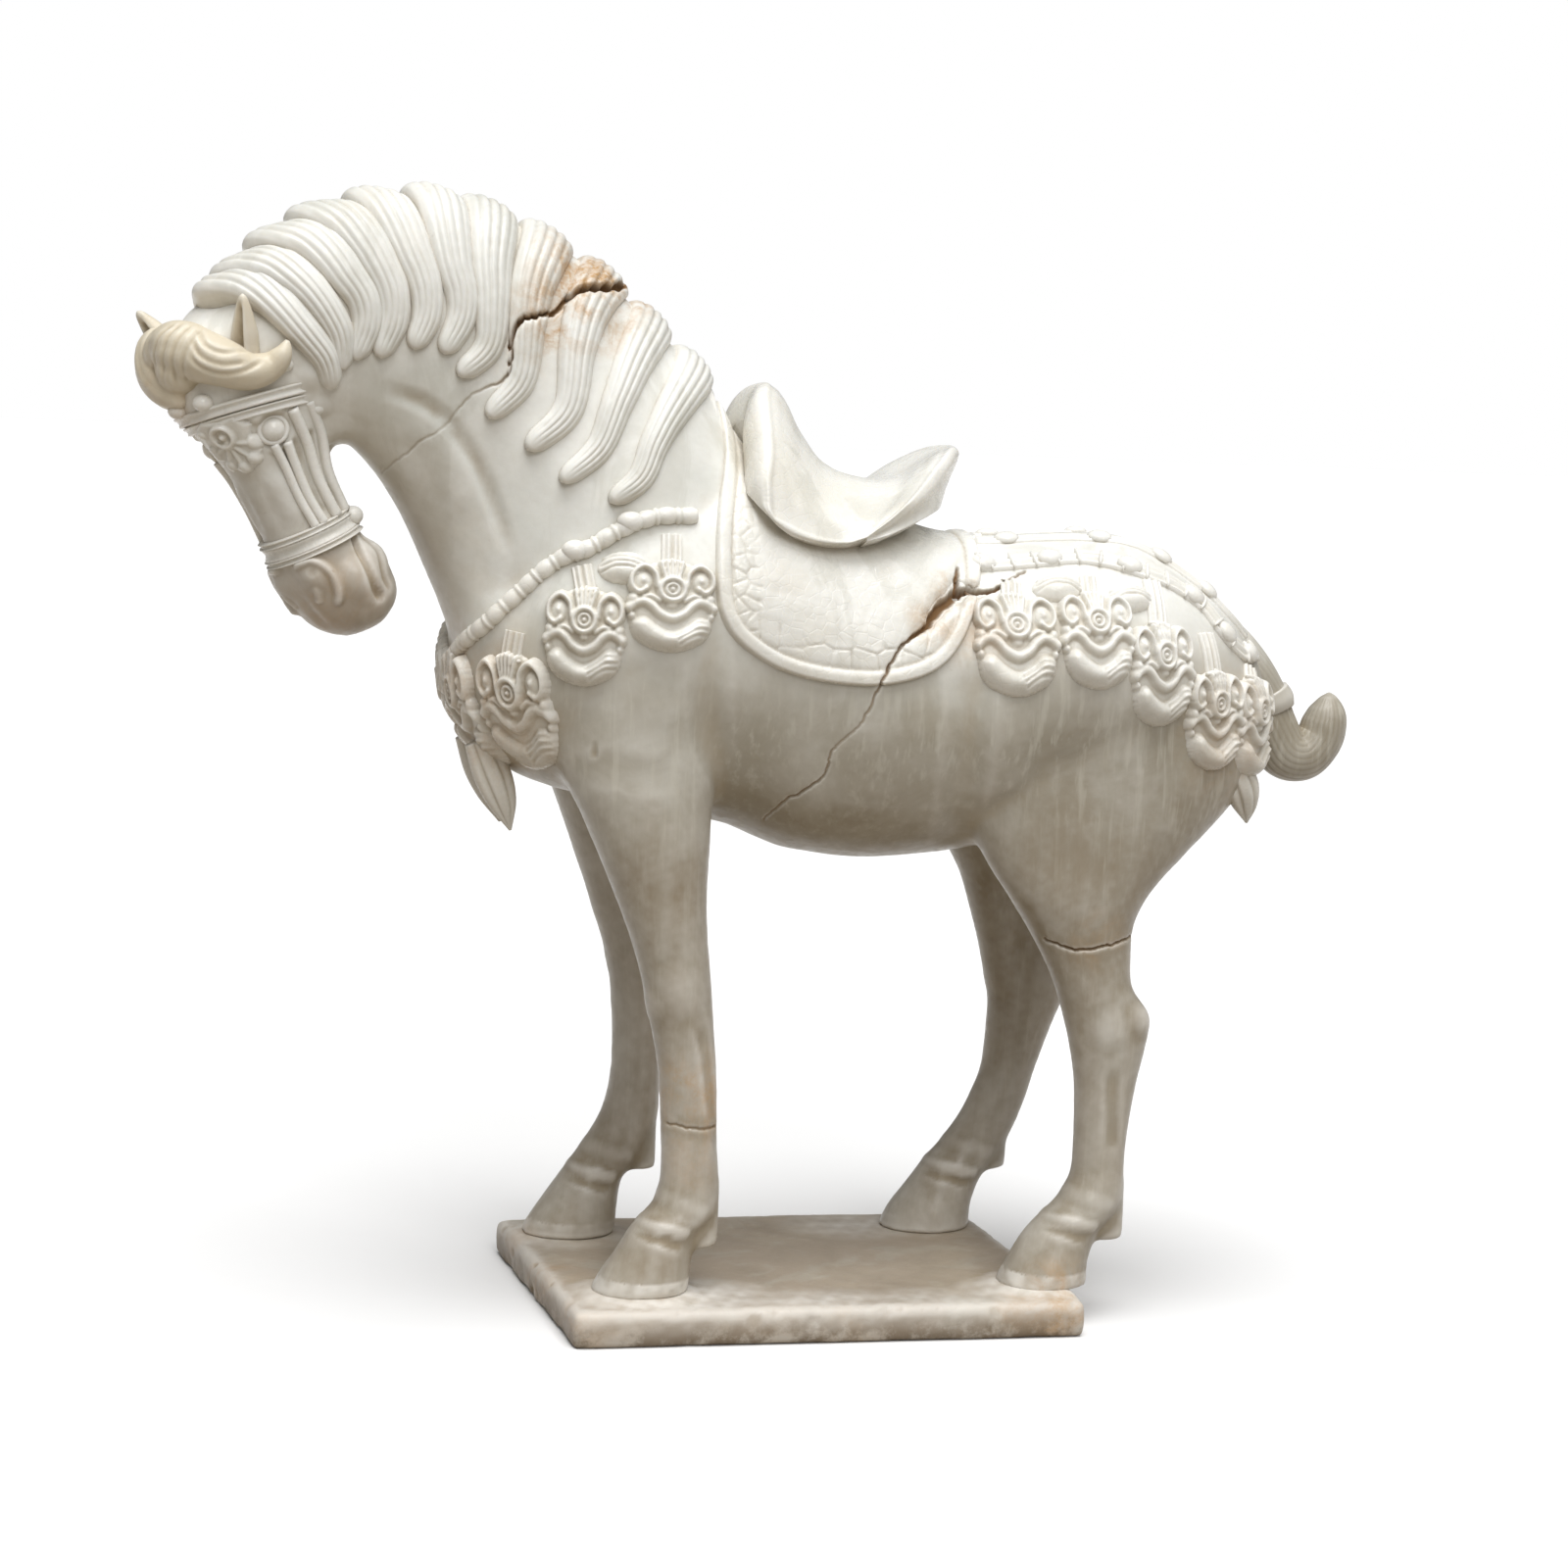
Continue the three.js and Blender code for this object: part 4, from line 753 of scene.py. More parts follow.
def carve_hoof(shape, stations):
    """The hair line above a hoof, higher in front, and a fold over it."""
    for height, depth, radius in HOOF_RINGS:
        front, back, middle, half = columns(stations[:, 0], stations[:, 1:], np.array([height]))[0]
        turn = np.radians(np.linspace(-200, 20, 24)) + np.pi / 2
        ring = np.stack([
            (front + back) / 2 - (back - front) / 2 * np.cos(turn),
            middle + half * np.sin(turn),
            PLINTH_TOP + height + 3.5 * np.cos(turn),
        ], 1)
        shape.stroke(ring, radius, depth, smooth=False)


def mirrored(path, side):
    """Places on the head, by distance and degrees, or their match on the off side."""
    return [(distance, angle if side > 0 else 180 - angle) for distance, angle in path]


def carve_head(shape):
    """Eyes, cheeks, nostrils and mouth."""
    strokes = [(mirrored(path, side), *cut) for _label, side in SIDES for path, *cut in HEAD_STROKES]
    for path, radius, height, soft in strokes + FACE_STROKES:
        points = head_point(*np.array(path, float).T)[0]
        if len(points) == 1:
            shape.bump(points[0], radius, height)
        else:
            shape.stroke(points, radius, height, soft)


def build_body(voxel):
    """The horse in one skin, from barrel, neck, head and legs, with its breaks."""
    parts = [tube(barrel_rings()), tube(neck_rings()), tube(head_rings())]
    parts += [tube(leg_rings(s)) for s in (NEAR_FORE, OFF_FORE, NEAR_HIND, OFF_HIND)]
    parts += [tube(tuft_rings(*t)) for t in TUFTS]
    obj = remeshed(mesh_object("marble_horse", *merged(parts)), voxel)
    points, edges = get_points(obj.data), get_edges(obj.data)
    weight = np.full(len(points), 0.12)
    for centre, radius in SOFT_JOINTS:
        distance = np.linalg.norm(points - np.array(centre, float), axis=1)
        weight = np.maximum(weight, smoothstep(1, 0.6, distance / radius))
    points = relaxed(points, edges, int(40 / voxel), weight)
    points = relaxed(points, edges, 3)
    set_points(obj.data, points)
    refine(obj.data, (points[:, 2] > 225) & (points[:, 0] < -158) & (points[:, 2] < 322), 1)
    points = get_points(obj.data)
    chosen = np.zeros(len(points), bool)
    for line in BREAKS:
        path = spline(line, 6 * len(line))[:, :3]
        close = np.where(((points > path.min(0) - 6) & (points < path.max(0) + 6)).all(1))[0]
        distance, _along = path_distance(points[close], path)
        chosen[close[distance < 3.6]] = True
    refine(obj.data, chosen, 2)
    shape = Carving(obj)
    carve_body(shape)
    shape.refresh()
    carve_head(shape)
    shape.refresh()
    shape.ripple((0.16, 26, 1), (0.05, 7, 2))
    shape.refresh()
    shape.all_breaks()
    shape.finish()
    return add_piece(obj, "white_marble", [
        "head_and_neck", "forequarters", "hindquarters", "near_foreleg_lower", "near_hind_leg_lower"])


# Mane, forelock, ears and tail

def lock_points(number, rows=170, sides=56):
    """A lock of the mane: it starts over the crest on the off side and curls to a tip on the neck."""
    line = LOCKS[number]
    place, _turn = neck_seat(*line[0])
    low, high, _half = neck_at(place)
    length = np.linalg.norm(high - low)
    drop = np.arccos(1 - 2 * 20 / length)
    seats = [(place, -drop), (place, -drop * 0.5), (place, 0.0)]
    seats += [neck_seat(x, z) for x, z in line[1:]]
    path = spline(seats, rows)
    centre, out = neck_point(path[:, 0], path[:, 1])
    far = run_of(centre)
    share = far / far[-1]
    spacing = 10.4 if 1 < number < 9 else 9.6
    width = spacing * np.interp(share, [0, 0.12, 0.3, 0.5, 0.7, 0.88, 1],
                                [0.75, 1.0, 0.98, 0.80, 0.60, 0.47, 0.34])
    thick = np.interp(share, [0, 0.1, 0.28, 0.5, 0.75, 1], [2.6, 4.2, 4.8, 4.7, 4.1, 3.0])
    rounding = np.sqrt(np.clip(1 - (np.clip(share - 0.95, 0, None) / 0.05) ** 2, 0.004, 1))
    width, thick = width * rounding, thick * np.sqrt(rounding)
    hook = smoothstep(0.80, 1.0, share) ** 1.6
    centre = centre + hook[:, None] * np.array((-3.4, 0, 1.2))
    tangent = unit(np.gradient(centre, axis=0))
    across = unit(np.cross(tangent, out))
    bend = np.interp(share, [0.8, 1], [0, 1]) ** 2
    u = np.linspace(-1, 1, sides)
    crown = np.clip(1 - np.abs(u) ** 2.3, 0, 1) ** 0.62
    strands = (0.5 + 0.5 * np.cos(2 * np.pi * (u * 2.5 + 0.5))) ** 1.8
    wave = 0.66 * smoothstep(0, 0.1, share)[:, None] * (1 - 0.40 * smoothstep(0.3, 0.7, share))[:, None]
    wave = wave * (1 - smoothstep(0.88, 0.99, share))[:, None]
    height = thick[:, None] * (0.12 + 0.88 * crown[None]) - wave * strands[None] * crown[None]
    lean = 0.10 * u[None] * thick[:, None]
    top = (centre[:, None] + across[:, None] * (width[:, None] * u[None])[..., None]
           + out[:, None] * (height + lean)[..., None])
    sink = 2.6 + 3.0 * (u[::-1][None] ** 2) * (width[:, None] / 10) ** 2
    under = (centre[:, None] + across[:, None] * (0.96 * width[:, None] * u[::-1][None])[..., None]
             - out[:, None] * sink[..., None])
    curl = out[:, None] * (1.1 * bend)[:, None, None]
    return tube(np.concatenate([top + curl, under], 1))


def build_mane(name, numbers):
    """Locks of the mane, with the break of the neck running through them on both sides."""
    obj = mesh_object(name, *merged([lock_points(n) for n in numbers]))
    shape = Carving(obj)
    shape.ripple((0.10, 9, 31))
    shape.refresh()
    for seed, side in ((0, 1), (7, -1)):
        shape.split(NECK_BREAK, depth=3.2, seed=seed, side=side, inward=1.5)
    shape.finish()
    return add_piece(obj, "white_marble", [name])


def fluted(line, strands, depth, twist=0.0, rows=120, sides=64, flatten=1.0):
    """A swept roll whose surface is cut into strands."""
    path = spline(line, rows)
    centre, radius = path[:, :3], path[:, 3]
    tangent = unit(np.gradient(centre, axis=0))
    side = unit(np.array((0.0, 1.0, 0.0)) - tangent * tangent[:, 1:2])
    up = np.cross(tangent, side)
    angle = np.linspace(0, 2 * np.pi, sides, endpoint=False)[None]
    share = np.linspace(0, 1, rows)[:, None]
    flute = np.abs(np.cos(strands / 2 * (angle + twist * share)))
    reach = radius[:, None] * (1 - depth * (1 - flute) ** 2)
    return (centre[:, None] + side[:, None] * (reach * np.cos(angle) * flatten)[..., None]
            + up[:, None] * (reach * np.sin(angle))[..., None])


def build_forelock(ground):
    """A rounded tuft on the forehead and a crescent lock that sweeps up to the near side."""
    def lifted(line, share):
        """Lifts a line out of the head, toward the near side, until part of its roll stands proud."""
        placed = []
        for *point, radius in line:
            hit = ground.cast(np.array(point) + NEAR_VIEW * 60, -NEAR_VIEW, 90)
            rise = (np.array(hit[0]) - point) @ NEAR_VIEW + share * radius if hit else 0
            placed.append((*(np.array(point) + NEAR_VIEW * np.clip(rise, 0, 16)), radius))
        return placed

    tuft = lifted([(-224, -7, 326, 5), (-225, -11, 321, 7.4), (-224, -15, 315, 8.4), (-221, -19, 309.5, 7.4),
                   (-217.5, -22, 305, 4.2), (-216, -23, 302.5, 0.8)], 0.1)
    crescent = lifted([(-221, -11, 322, 7.0), (-216, -18, 320.8, 9.4), (-210, -25, 319, 8.8),
                       (-204, -31.5, 317.4, 7.8), (-197, -37, 315.8, 6.3), (-191.2, -40.5, 318.2, 4.8),
                       (-187.7, -42, 322.2, 3.4), (-186.2, -42.2, 326.8, 0.9)], 0.2)
    parts = [tube(fluted(tuft, 11, 0.09, 0.5)), tube(fluted(crescent, 8, 0.04, 1.0))]
    for point in ((-219, -11, 320, 9), (-215, -16, 315, 9), (-217, -16, 323, 7)):
        *centre, radius = lifted([point], -0.1)[0]
        parts.append(ball(tuple(centre), (radius, radius, radius)))
    obj = remeshed(mesh_object("forelock", *merged(parts)), 0.5)
    points, edges = get_points(obj.data), get_edges(obj.data)
    set_points(obj.data, relaxed(points, edges, 6))
    shape = Carving(obj)
    lock = Ground()
    lock.add(obj)
    strands = [[(-212.1, 326.1), (-217.0, 322.8), (-219.7, 315.8), (-218.8, 307.1)],
               [(-209.0, 326.6), (-213.9, 322.3), (-216.2, 314.7), (-215.4, 305.3)],
               [(-206.2, 325.8), (-210.4, 321.2), (-212.7, 314.2), (-211.6, 305.5)],
               [(-203.4, 324.6), (-206.6, 319.5), (-208.7, 313.8), (-207.9, 306.9)],
               [(-204.6, 324.6), (-201.3, 318.5), (-195.0, 316.0), (-187.5, 317.2), (-182.0, 321.8)],
               [(-206.1, 320.8), (-202.5, 314.9), (-195.5, 312.2), (-187.4, 313.4), (-180.6, 318.7)],
               [(-206.9, 316.3), (-203.0, 311.5), (-196.1, 309.3), (-188.6, 310.5), (-182.4, 314.9)]]
    for strand in strands:
        hits = [lock.cast(np.array((x, 0, z)) + NEAR_VIEW * 100, -NEAR_VIEW, 200) for x, z in strand]
        path = [tuple(hit[0]) for hit in hits if hit]
        if len(path) > 2:
            shape.stroke(path, 1.5, -0.55, 0.15)
    shape.finish()
    return add_piece(obj, "tan_marble", ["forelock"])


def build_ear(name, root, tip, half, thick):
    """A leaf-shaped ear with a hollow on the face side."""
    root, tip = np.array(root, float), np.array(tip, float)
    rise = tip - root
    share = np.linspace(-0.35, 1, 44)
    across = unit(NEAR - rise * (NEAR @ rise) / (rise @ rise))
    depth = unit(np.cross(across, rise))
    depth = depth if depth @ FACE > 0 else -depth
    size = monotone([-0.35, 0, 0.3, 0.6, 0.85, 0.96, 1], [0.9, 1, 0.98, 0.74, 0.44, 0.25, 0.05], share)
    angle = np.linspace(0, 2 * np.pi, 40, endpoint=False)
    cos, sin = np.cos(angle)[None], np.sin(angle)[None]
    hollow = np.clip(sin, 0, 1) ** 1.5 * np.clip(1 - (cos / 0.6) ** 2, 0, 1)
    dip = 0.8 * hollow * smoothstep(-0.1, 0.15, share)[:, None] * (1 - smoothstep(0.7, 0.95, share))[:, None]
    rings = (root + rise * share[:, None])[:, None] + across * (half * size[:, None] * cos)[..., None]
    rings = rings + depth * (thick * size[:, None] * (sin - dip))[..., None]
    return dress(name, [tube(rings)], "tan_marble", [name])


def build_tail():
    """The knotted tail with its tie band."""
    line = [(148, 0, 238, 8.6), (156, 0, 231, 8.8), (163, 0, 223, 8.8), (168.5, 0, 214.5, 8.6),
            (172, 0, 205, 9.2), (177, 0, 196, 9.6), (184.5, 0, 194.5, 9.2), (190.2, 0, 199.8, 8.7),
            (192.3, 0, 206, 8.2), (193.2, 0, 211, 6.6), (193.5, 0, 215.2, 3.4), (193.5, 0, 217.2, 0.5)]
    rolls = fluted(line, 26, 0.022, 0.9, rows=170, sides=156, flatten=0.94)
    band_line = [(168.0, 0, 216.5, 9.3), (169.6, 0, 213.2, 10.1), (170.9, 0, 210.0, 9.4)]
    band = fluted(band_line, 2, 0.0, rows=12, sides=60, flatten=0.94)
    return dress("tail", [tube(rolls), tube(band)], "white_marble", ["tail"])


# Layers laid on the stone

class Ground:
    """The finished surfaces that the next layer lies on."""

    def __init__(self):
        self.trees = []

    def add(self, obj):
        mesh = obj.data
        points = [Vector(p) for p in get_points(mesh)]
        self.trees.append(BVHTree.FromPolygons(points, [tuple(f.vertices) for f in mesh.polygons]))

    def cast(self, start, direction, reach=140.0):
        """The first surface that a line meets: place, outward direction and distance, or nothing."""
        best = None
        for tree in self.trees:
            hit, normal, _face, distance = tree.ray_cast(Vector(start), Vector(direction), reach)
            if hit is not None and (best is None or distance < best[2]):
                best = (hit, normal, distance)
        return best

    def seats(self, points, out, above=60.0):
        """Where lines from above meet the ground, and its normals there."""
        landed, normals = np.array(points, float), np.array(out, float)
        found = np.zeros(len(landed), bool)
        for k, (point, direction) in enumerate(zip(np.array(points, float), out)):
            hit = self.cast(point + direction * above, -direction)
            if hit:
                landed[k], normals[k] = hit[0], hit[1]
                found[k] = True
        return landed, normals, found


def relief_mesh(name, top, under, keep):
    """A closed plate from two grids of points, cut to the cells that are kept."""
    rows, cols, _ = top.shape
    cell = keep[:-1, :-1] | keep[1:, :-1] | keep[:-1, 1:] | keep[1:, 1:]
    index = np.arange(rows * cols).reshape(rows, cols)
    a, b, c, d = index[:-1, :-1], index[1:, :-1], index[1:, 1:], index[:-1, 1:]
    faces = np.stack([a, b, c, d], -1)[cell].tolist()
    half = rows * cols
    both = faces + [[n + half for n in face[::-1]] for face in faces]
    edges = {}
    for face in faces:
        for p, q in zip(face, face[1:] + face[:1]):
            edges[(p, q)] = True
    walls = [[q, p, p + half, q + half] for (p, q) in edges if (q, p) not in edges]
    points = np.concatenate([top.reshape(-1, 3), under.reshape(-1, 3)])
    used = np.zeros(len(points), bool)
    for face in both:
        used[face] = True
    fresh = np.cumsum(used) - 1
    return mesh_object(name, points[used], [[int(fresh[n]) for n in face] for face in both + walls])


class Strap:
    """A strap swept along a line of the side view and seated on the ground, with its studs."""

    def __init__(self, ground, line, outs, rows, half, height, profile):
        path = spline(line, rows)
        seat, normal, _found = ground.seats(path, unit(spline(outs, rows)))
        for _ in range(3):
            seat[1:-1] = (seat[:-2] + 2 * seat[1:-1] + seat[2:]) / 4
            normal[1:-1] = normal[:-2] + 2 * normal[1:-1] + normal[2:]
        self.seat, self.normal = seat, unit(normal)
        self.across = unit(np.cross(unit(np.gradient(seat, axis=0)), self.normal))
        rings = []
        for place, up, side, far in zip(seat, self.normal, self.across, run_of(seat)):
            section = profile(far)
            rings.append(place + side * (section[:, :1] * half) + up * (section[:, 1:] * height))
        self.last = rows - 1
        self.parts = [tube(np.array(rings))]

    def stud(self, k, lift, radii, rings=14, sides=24):
        """Adds a ball at one place of the strap. Its radii go across, along and away from the strap."""
        axes = np.stack([self.across[k], np.cross(self.normal[k], self.across[k]), self.normal[k]])
        self.parts.append(ball(self.seat[k] + self.normal[k] * lift, radii, axes, rings, sides))


def flat_profile(ridges):
    """The cross-section of a flat strap with raised lines along it, the same all the way."""
    u = np.linspace(-1, 1, 21)
    crown = np.clip(1 - np.abs(u) ** 8, 0, 1) ** 0.5
    lines = 0.78 + 0.22 * np.cos(np.pi * ridges * (u + 1))
    top = np.stack([u, crown * lines], 1)
    under = np.stack([u[::-1], np.full(21, -0.8)], 1)
    outline = np.concatenate([top, under])
    return lambda _far: outline


def bead_profile(pitch):
    """The cross-section of a rope of barrel-shaped beads with thin collars between them."""
    angle = np.linspace(0, 2 * np.pi, 28, endpoint=False)
    collar = 0.78

    def outline(far):
        t = (far % pitch) / pitch
        swell = 0.80 + 0.22 * np.sin(np.pi * np.clip(t / collar, 0, 1)) ** 0.7
        swell = swell if t < collar else 0.80 + 0.26 * np.sin(np.pi * (t - collar) / 0.22)
        return np.stack([np.cos(angle) * swell, np.sin(angle) * swell + 0.15], 1)
    return outline


BREAST_LINE = [(-124.5, 0, 222), (-123.5, -8, 224), (-121.5, -18, 229), (-116.5, -29, 237), (-110, -32, 244),
               (-103, -35, 252), (-95, -37, 259), (-86, -39, 263), (-74, -39.5, 270), (-63, -38.5, 273.5),
               (-50, -38, 275)]
CRUPPER_LINE = [(50, -29, 261), (62, -28.5, 262), (74, -28, 263), (87, -27, 264), (97, -29, 263),
                (109, -32, 260), (120, -31, 256), (131, -31, 249), (138, -33, 240), (146, -28, 232),
                (152, -17, 232)]
SPINE_LINE = [(53, -11, 268), (66, -12, 270), (80, -12, 271), (95, -13, 271), (110, -15, 268),
              (124, -17, 262), (135, -18, 254), (144, -18, 245), (151, -14, 237)]


def outward(point):
    """The direction away from a line through the middle of the barrel."""
    x, y, z = point
    middle = np.array((np.clip(x, -88, 128), 0, 222.0))
    return unit(np.array((x, y, z), float) - middle)


# Place on the stone, outward direction, width and height of each hanging ornament, and its strap's top
PENDANTS = [
    ("breast_pendant_1", (-59.5, -48, 245.5), (-0.05, -0.97, 0.2), 28, 30, (-58.7, -40, 268)),
    ("breast_pendant_2", (-87.5, -45.5, 234.5), (-0.28, -0.94, 0.1), 25, 32, (-88, -39.3, 257)),
    ("breast_pendant_3", (-107, -33, 208), (-0.7, -0.7, -0.05), 24, 40, (-107.5, -35, 235)),
    ("breast_pendant_4", (-121, -11, 206), (-0.95, -0.3, -0.1), 21, 42, (-121, -13, 227)),
    ("rump_pendant_1", (59, -49.5, 236), (0, -0.95, 0.3), 27.5, 36, (60.5, -37.7, 257)),
    ("rump_pendant_2", (87.5, -49, 238), (0.05, -0.94, 0.33), 24.5, 34, (88, -36.9, 258)),
    ("rump_pendant_3", (111, -50, 227), (0.28, -0.93, 0.2), 22, 35, (110.5, -35.3, 257)),
    ("rump_pendant_4", (132, -46, 211), (0.45, -0.88, 0.05), 21, 34, (128.5, -38, 240)),
    ("rump_pendant_5", (149, -36, 208), (0.75, -0.66, 0), 21, 35, (147, -30, 228)),
]
TASSELS = [
    ("breast_tassel", (-75, -43, 257), (-0.1, -0.95, 0.28), 17, 12),
    ("rump_tassel_1", (76, -39, 254), (0, -0.75, 0.66), 18, 12.5),
    ("rump_tassel_2", (101, -41, 251), (0.1, -0.8, 0.6), 17, 12),
]
# Pointed tongues below the last ornaments: middle line and radius
TONGUES = [
    ("breast_tongue", [(-116, -11, 196, 5.0), (-111, -11, 185, 6.6), (-107, -11, 175, 5.0),
                       (-104, -11, 165.6, 0.5)]),
    ("rump_pendant_6", [(142, -36.5, 198, 4.5), (147.5, -36, 188, 6.4), (150.5, -34, 180.5, 4.6),
                        (152.6, -31, 173.8, 0.5)]),
]


def ridge(at, path, width, height, smooth=True):
    """A round ridge along a line."""
    path = spline(path, 8 * len(path)) if smooth and len(path) > 2 else np.asarray(path, float)
    distance, _along = path_distance(at, path)
    return height * np.sqrt(np.clip(1 - (distance / width) ** 2, 0, None))


def dome(at, centre, size, height):
    """A round boss."""
    offset = (at - np.asarray(centre, float)) / np.asarray(size, float)
    return height * np.sqrt(np.clip(1 - (offset ** 2).sum(1), 0, None))


def ring(at, centre, size, width, height):
    """A round ridge along an oval."""
    offset = (at - np.asarray(centre, float)) / np.asarray(size, float)
    away = np.abs(np.linalg.norm(offset, axis=1) - 1) * min(size)
    return height * np.sqrt(np.clip(1 - (away / width) ** 2, 0, None))


# Outlines of the carving, each in its own square from -1 to 1: the pendant's plate, the pouch below
# it, the wave between them, a scroll and the middle of the disc, then the tassel and the plaque
PLATE = [(-0.25, 0.98), (0.25, 0.98), (0.62, 0.86), (0.94, 0.62), (1.0, 0.25), (0.99, -0.1), (1.0, -0.4),
         (0.86, -0.72), (0.5, -0.93), (0.0, -1.0), (-0.5, -0.93), (-0.86, -0.72), (-1.0, -0.4),
         (-0.99, -0.1), (-1.0, 0.25), (-0.94, 0.62), (-0.62, 0.86)]
POUCH = [(-0.98, -0.34), (-0.80, -0.22), (-0.58, -0.22), (-0.32, -0.40), (0.0, -0.52), (0.32, -0.40),
         (0.58, -0.22), (0.80, -0.22), (0.98, -0.34), (0.92, -0.64), (0.66, -0.86), (0.3, -0.99),
         (0.0, -1.02), (-0.3, -0.99), (-0.66, -0.86), (-0.92, -0.64)]
WAVE = [(-1.0, -0.06), (-0.86, 0.04), (-0.66, 0.08), (-0.46, -0.02), (-0.28, -0.18), (0.0, -0.28),
        (0.28, -0.18), (0.46, -0.02), (0.66, 0.08), (0.86, 0.04), (1.0, -0.06)]
SCROLL = [(0.34, 0.40), (0.40, 0.70), (0.66, 0.86), (0.92, 0.70), (0.96, 0.44), (0.80, 0.28), (0.62, 0.36)]
DISC = (0.0, 0.34)
PUFF = [(-1.0, 0.0), (-0.8, 0.55), (-0.3, 0.9), (0.3, 0.95), (0.8, 0.6), (1.0, 0.0), (0.75, -0.6),
        (0.2, -0.9), (-0.4, -0.85), (-0.85, -0.5)]
FLOWER = [(-0.95, 0.75), (-0.4, 1.0), (0.2, 0.85), (0.75, 0.9), (1.0, 0.35), (0.7, -0.05), (0.85, -0.5),
          (0.4, -0.95), (-0.2, -1.0), (-0.55, -0.6), (-0.95, -0.2)]


def closed(corners, count=72):
    """A smooth closed outline through its corners."""
    points = spline(np.vstack([corners, corners[:2]]), count + 1)
    return points[:-1]


def pendant_height(at, lean):
    """The carving of a hanging ornament. The cuts of its pouch lean to one side."""
    flip = at * np.array((-1, 1))
    plate = np.clip(-polygon_distance(at, closed(PLATE)) / 0.14, 0, 1)
    pouch = np.sin(np.clip(-polygon_distance(at, closed(POUCH)) / 0.26, 0, 1) * np.pi / 2) ** 0.75
    for k in range(3):
        line = [(0.10 + 0.05 * k, -0.66 - 0.10 * k), (0.36, -0.54 - 0.11 * k), (0.60, -0.40 - 0.13 * k),
                (0.86, -0.40 - 0.12 * k)]
        pouch -= ridge(at if lean else flip, line, 0.042, 0.15)
    shapes = [0.30 * np.sqrt(plate), pouch, ridge(at, WAVE, 0.125, 0.80)]
    for side in (at, flip):
        shapes += [
            dome(side, (0.70, 0.50), (0.27, 0.27), 0.74),
            ridge(side, SCROLL, 0.085, 0.90),
            dome(side, (0.69, 0.53), (0.12, 0.12), 0.92),
            dome(side, (0.90, 0.14), (0.15, 0.13), 0.78),
            ridge(side, [(0.30, 0.10), (0.50, 0.20), (0.68, 0.18)], 0.075, 0.70),
            dome(side, (0.94, -0.24), (0.10, 0.10), 0.66),
        ]
    for k in range(-2, 3):
        fan = [(0.075 * k, 0.55), (0.13 * k, 1.0 - 0.03 * abs(k))]
        shapes.append(ridge(at, fan, 0.06, 0.86, smooth=False))
    shapes += [
        dome(at, DISC, (0.36, 0.30), 0.60),
        ring(at, DISC, (0.29, 0.24), 0.085, 0.98),
        ring(at, DISC, (0.145, 0.12), 0.05, 0.92),
        dome(at, (0.0, 0.0), (0.16, 0.10), 0.62),
        dome(at, DISC, (0.075, 0.065), 1.0),
    ]
    return np.maximum.reduce(shapes)


def tassel_height(at):
    """A folded puff with curved grooves."""
    body = np.sin(np.clip(-polygon_distance(at, closed(PUFF)) / 0.75, 0, 1) * np.pi / 2) ** 0.7
    for k in range(3):
        line = [(-0.86, -0.30 + 0.34 * k), (-0.3, 0.02 + 0.30 * k), (0.3, -0.02 + 0.28 * k),
                (0.84, -0.34 + 0.32 * k)]
        body -= ridge(at, line, 0.075, 0.24)
    return np.clip(body, 0, None)


def plaque_height(at):
    """The flower on the forehead: a ringed boss over a fan of petals."""
    shapes = [
        0.45 * np.sqrt(np.clip(-polygon_distance(at, FLOWER) / 0.15, 0, 1)),
        ring(at, (0.05, 0.3), (0.34, 0.34), 0.11, 0.95),
        dome(at, (0.05, 0.3), (0.15, 0.15), 1.0),
    ]
    for k in range(5):
        turn = np.radians(200 + 35 * k)
        far = (0.05 + 0.78 * np.cos(turn), 0.1 + 0.9 * np.sin(turn))
        shapes.append(dome(at, far, (0.24, 0.26), 0.78))
        shapes.append(ridge(at, [(0.05, 0.1), far], 0.12, 0.66, smooth=False))
    for k in range(2):
        shapes.append(dome(at, (-0.7, 0.55 - 0.55 * k), (0.25, 0.22), 0.8))
    return np.maximum.reduce(shapes)


def relief(name, ground, at, out, width, height, proud, carving, spacing, above=60.0,
           upright=(0.0, 0.0, 1.0)):
    """A carved ornament that follows the ground under it."""
    out = unit(np.array(out, float))
    up = unit(np.array(upright) - out * (out @ np.array(upright)))
    side = np.cross(up, out)
    cols, rows = int(1.16 * width / spacing), int(1.16 * height / spacing)
    u, v = np.meshgrid(np.linspace(-1.12, 1.12, cols), np.linspace(-1.12, 1.12, rows))
    flat = np.stack([u.ravel(), v.ravel()], 1)
    start = np.array(at, float) + side * (flat[:, :1] * width / 2) + up * (flat[:, 1:] * height / 2)
    seat, _normal, found = ground.seats(start, np.repeat(out[None], len(start), 0), above)
    depth = (seat - start) @ out
    middle = float(np.median(depth[found])) if found.any() else 0.0
    steep = np.clip(depth, middle - 9, middle + 9)
    steep[~found] = middle - 9
    base = start + out * smoothed(steep.reshape(rows, cols), 10).reshape(-1, 1)
    carved = carving(flat)
    lift = np.where(carved > 0, carved * proud + 0.35, -1.0)
    top = (base + out * lift[:, None]).reshape(rows, cols, 3)
    under = (base - out * 2.6).reshape(rows, cols, 3)
    obj = relief_mesh(name, top, under, (carved > 0).reshape(rows, cols))
    set_points(obj.data, relaxed(get_points(obj.data), get_edges(obj.data), 1, 0.5))
    paint_marks(obj)
    return obj


# Saddle and cloth

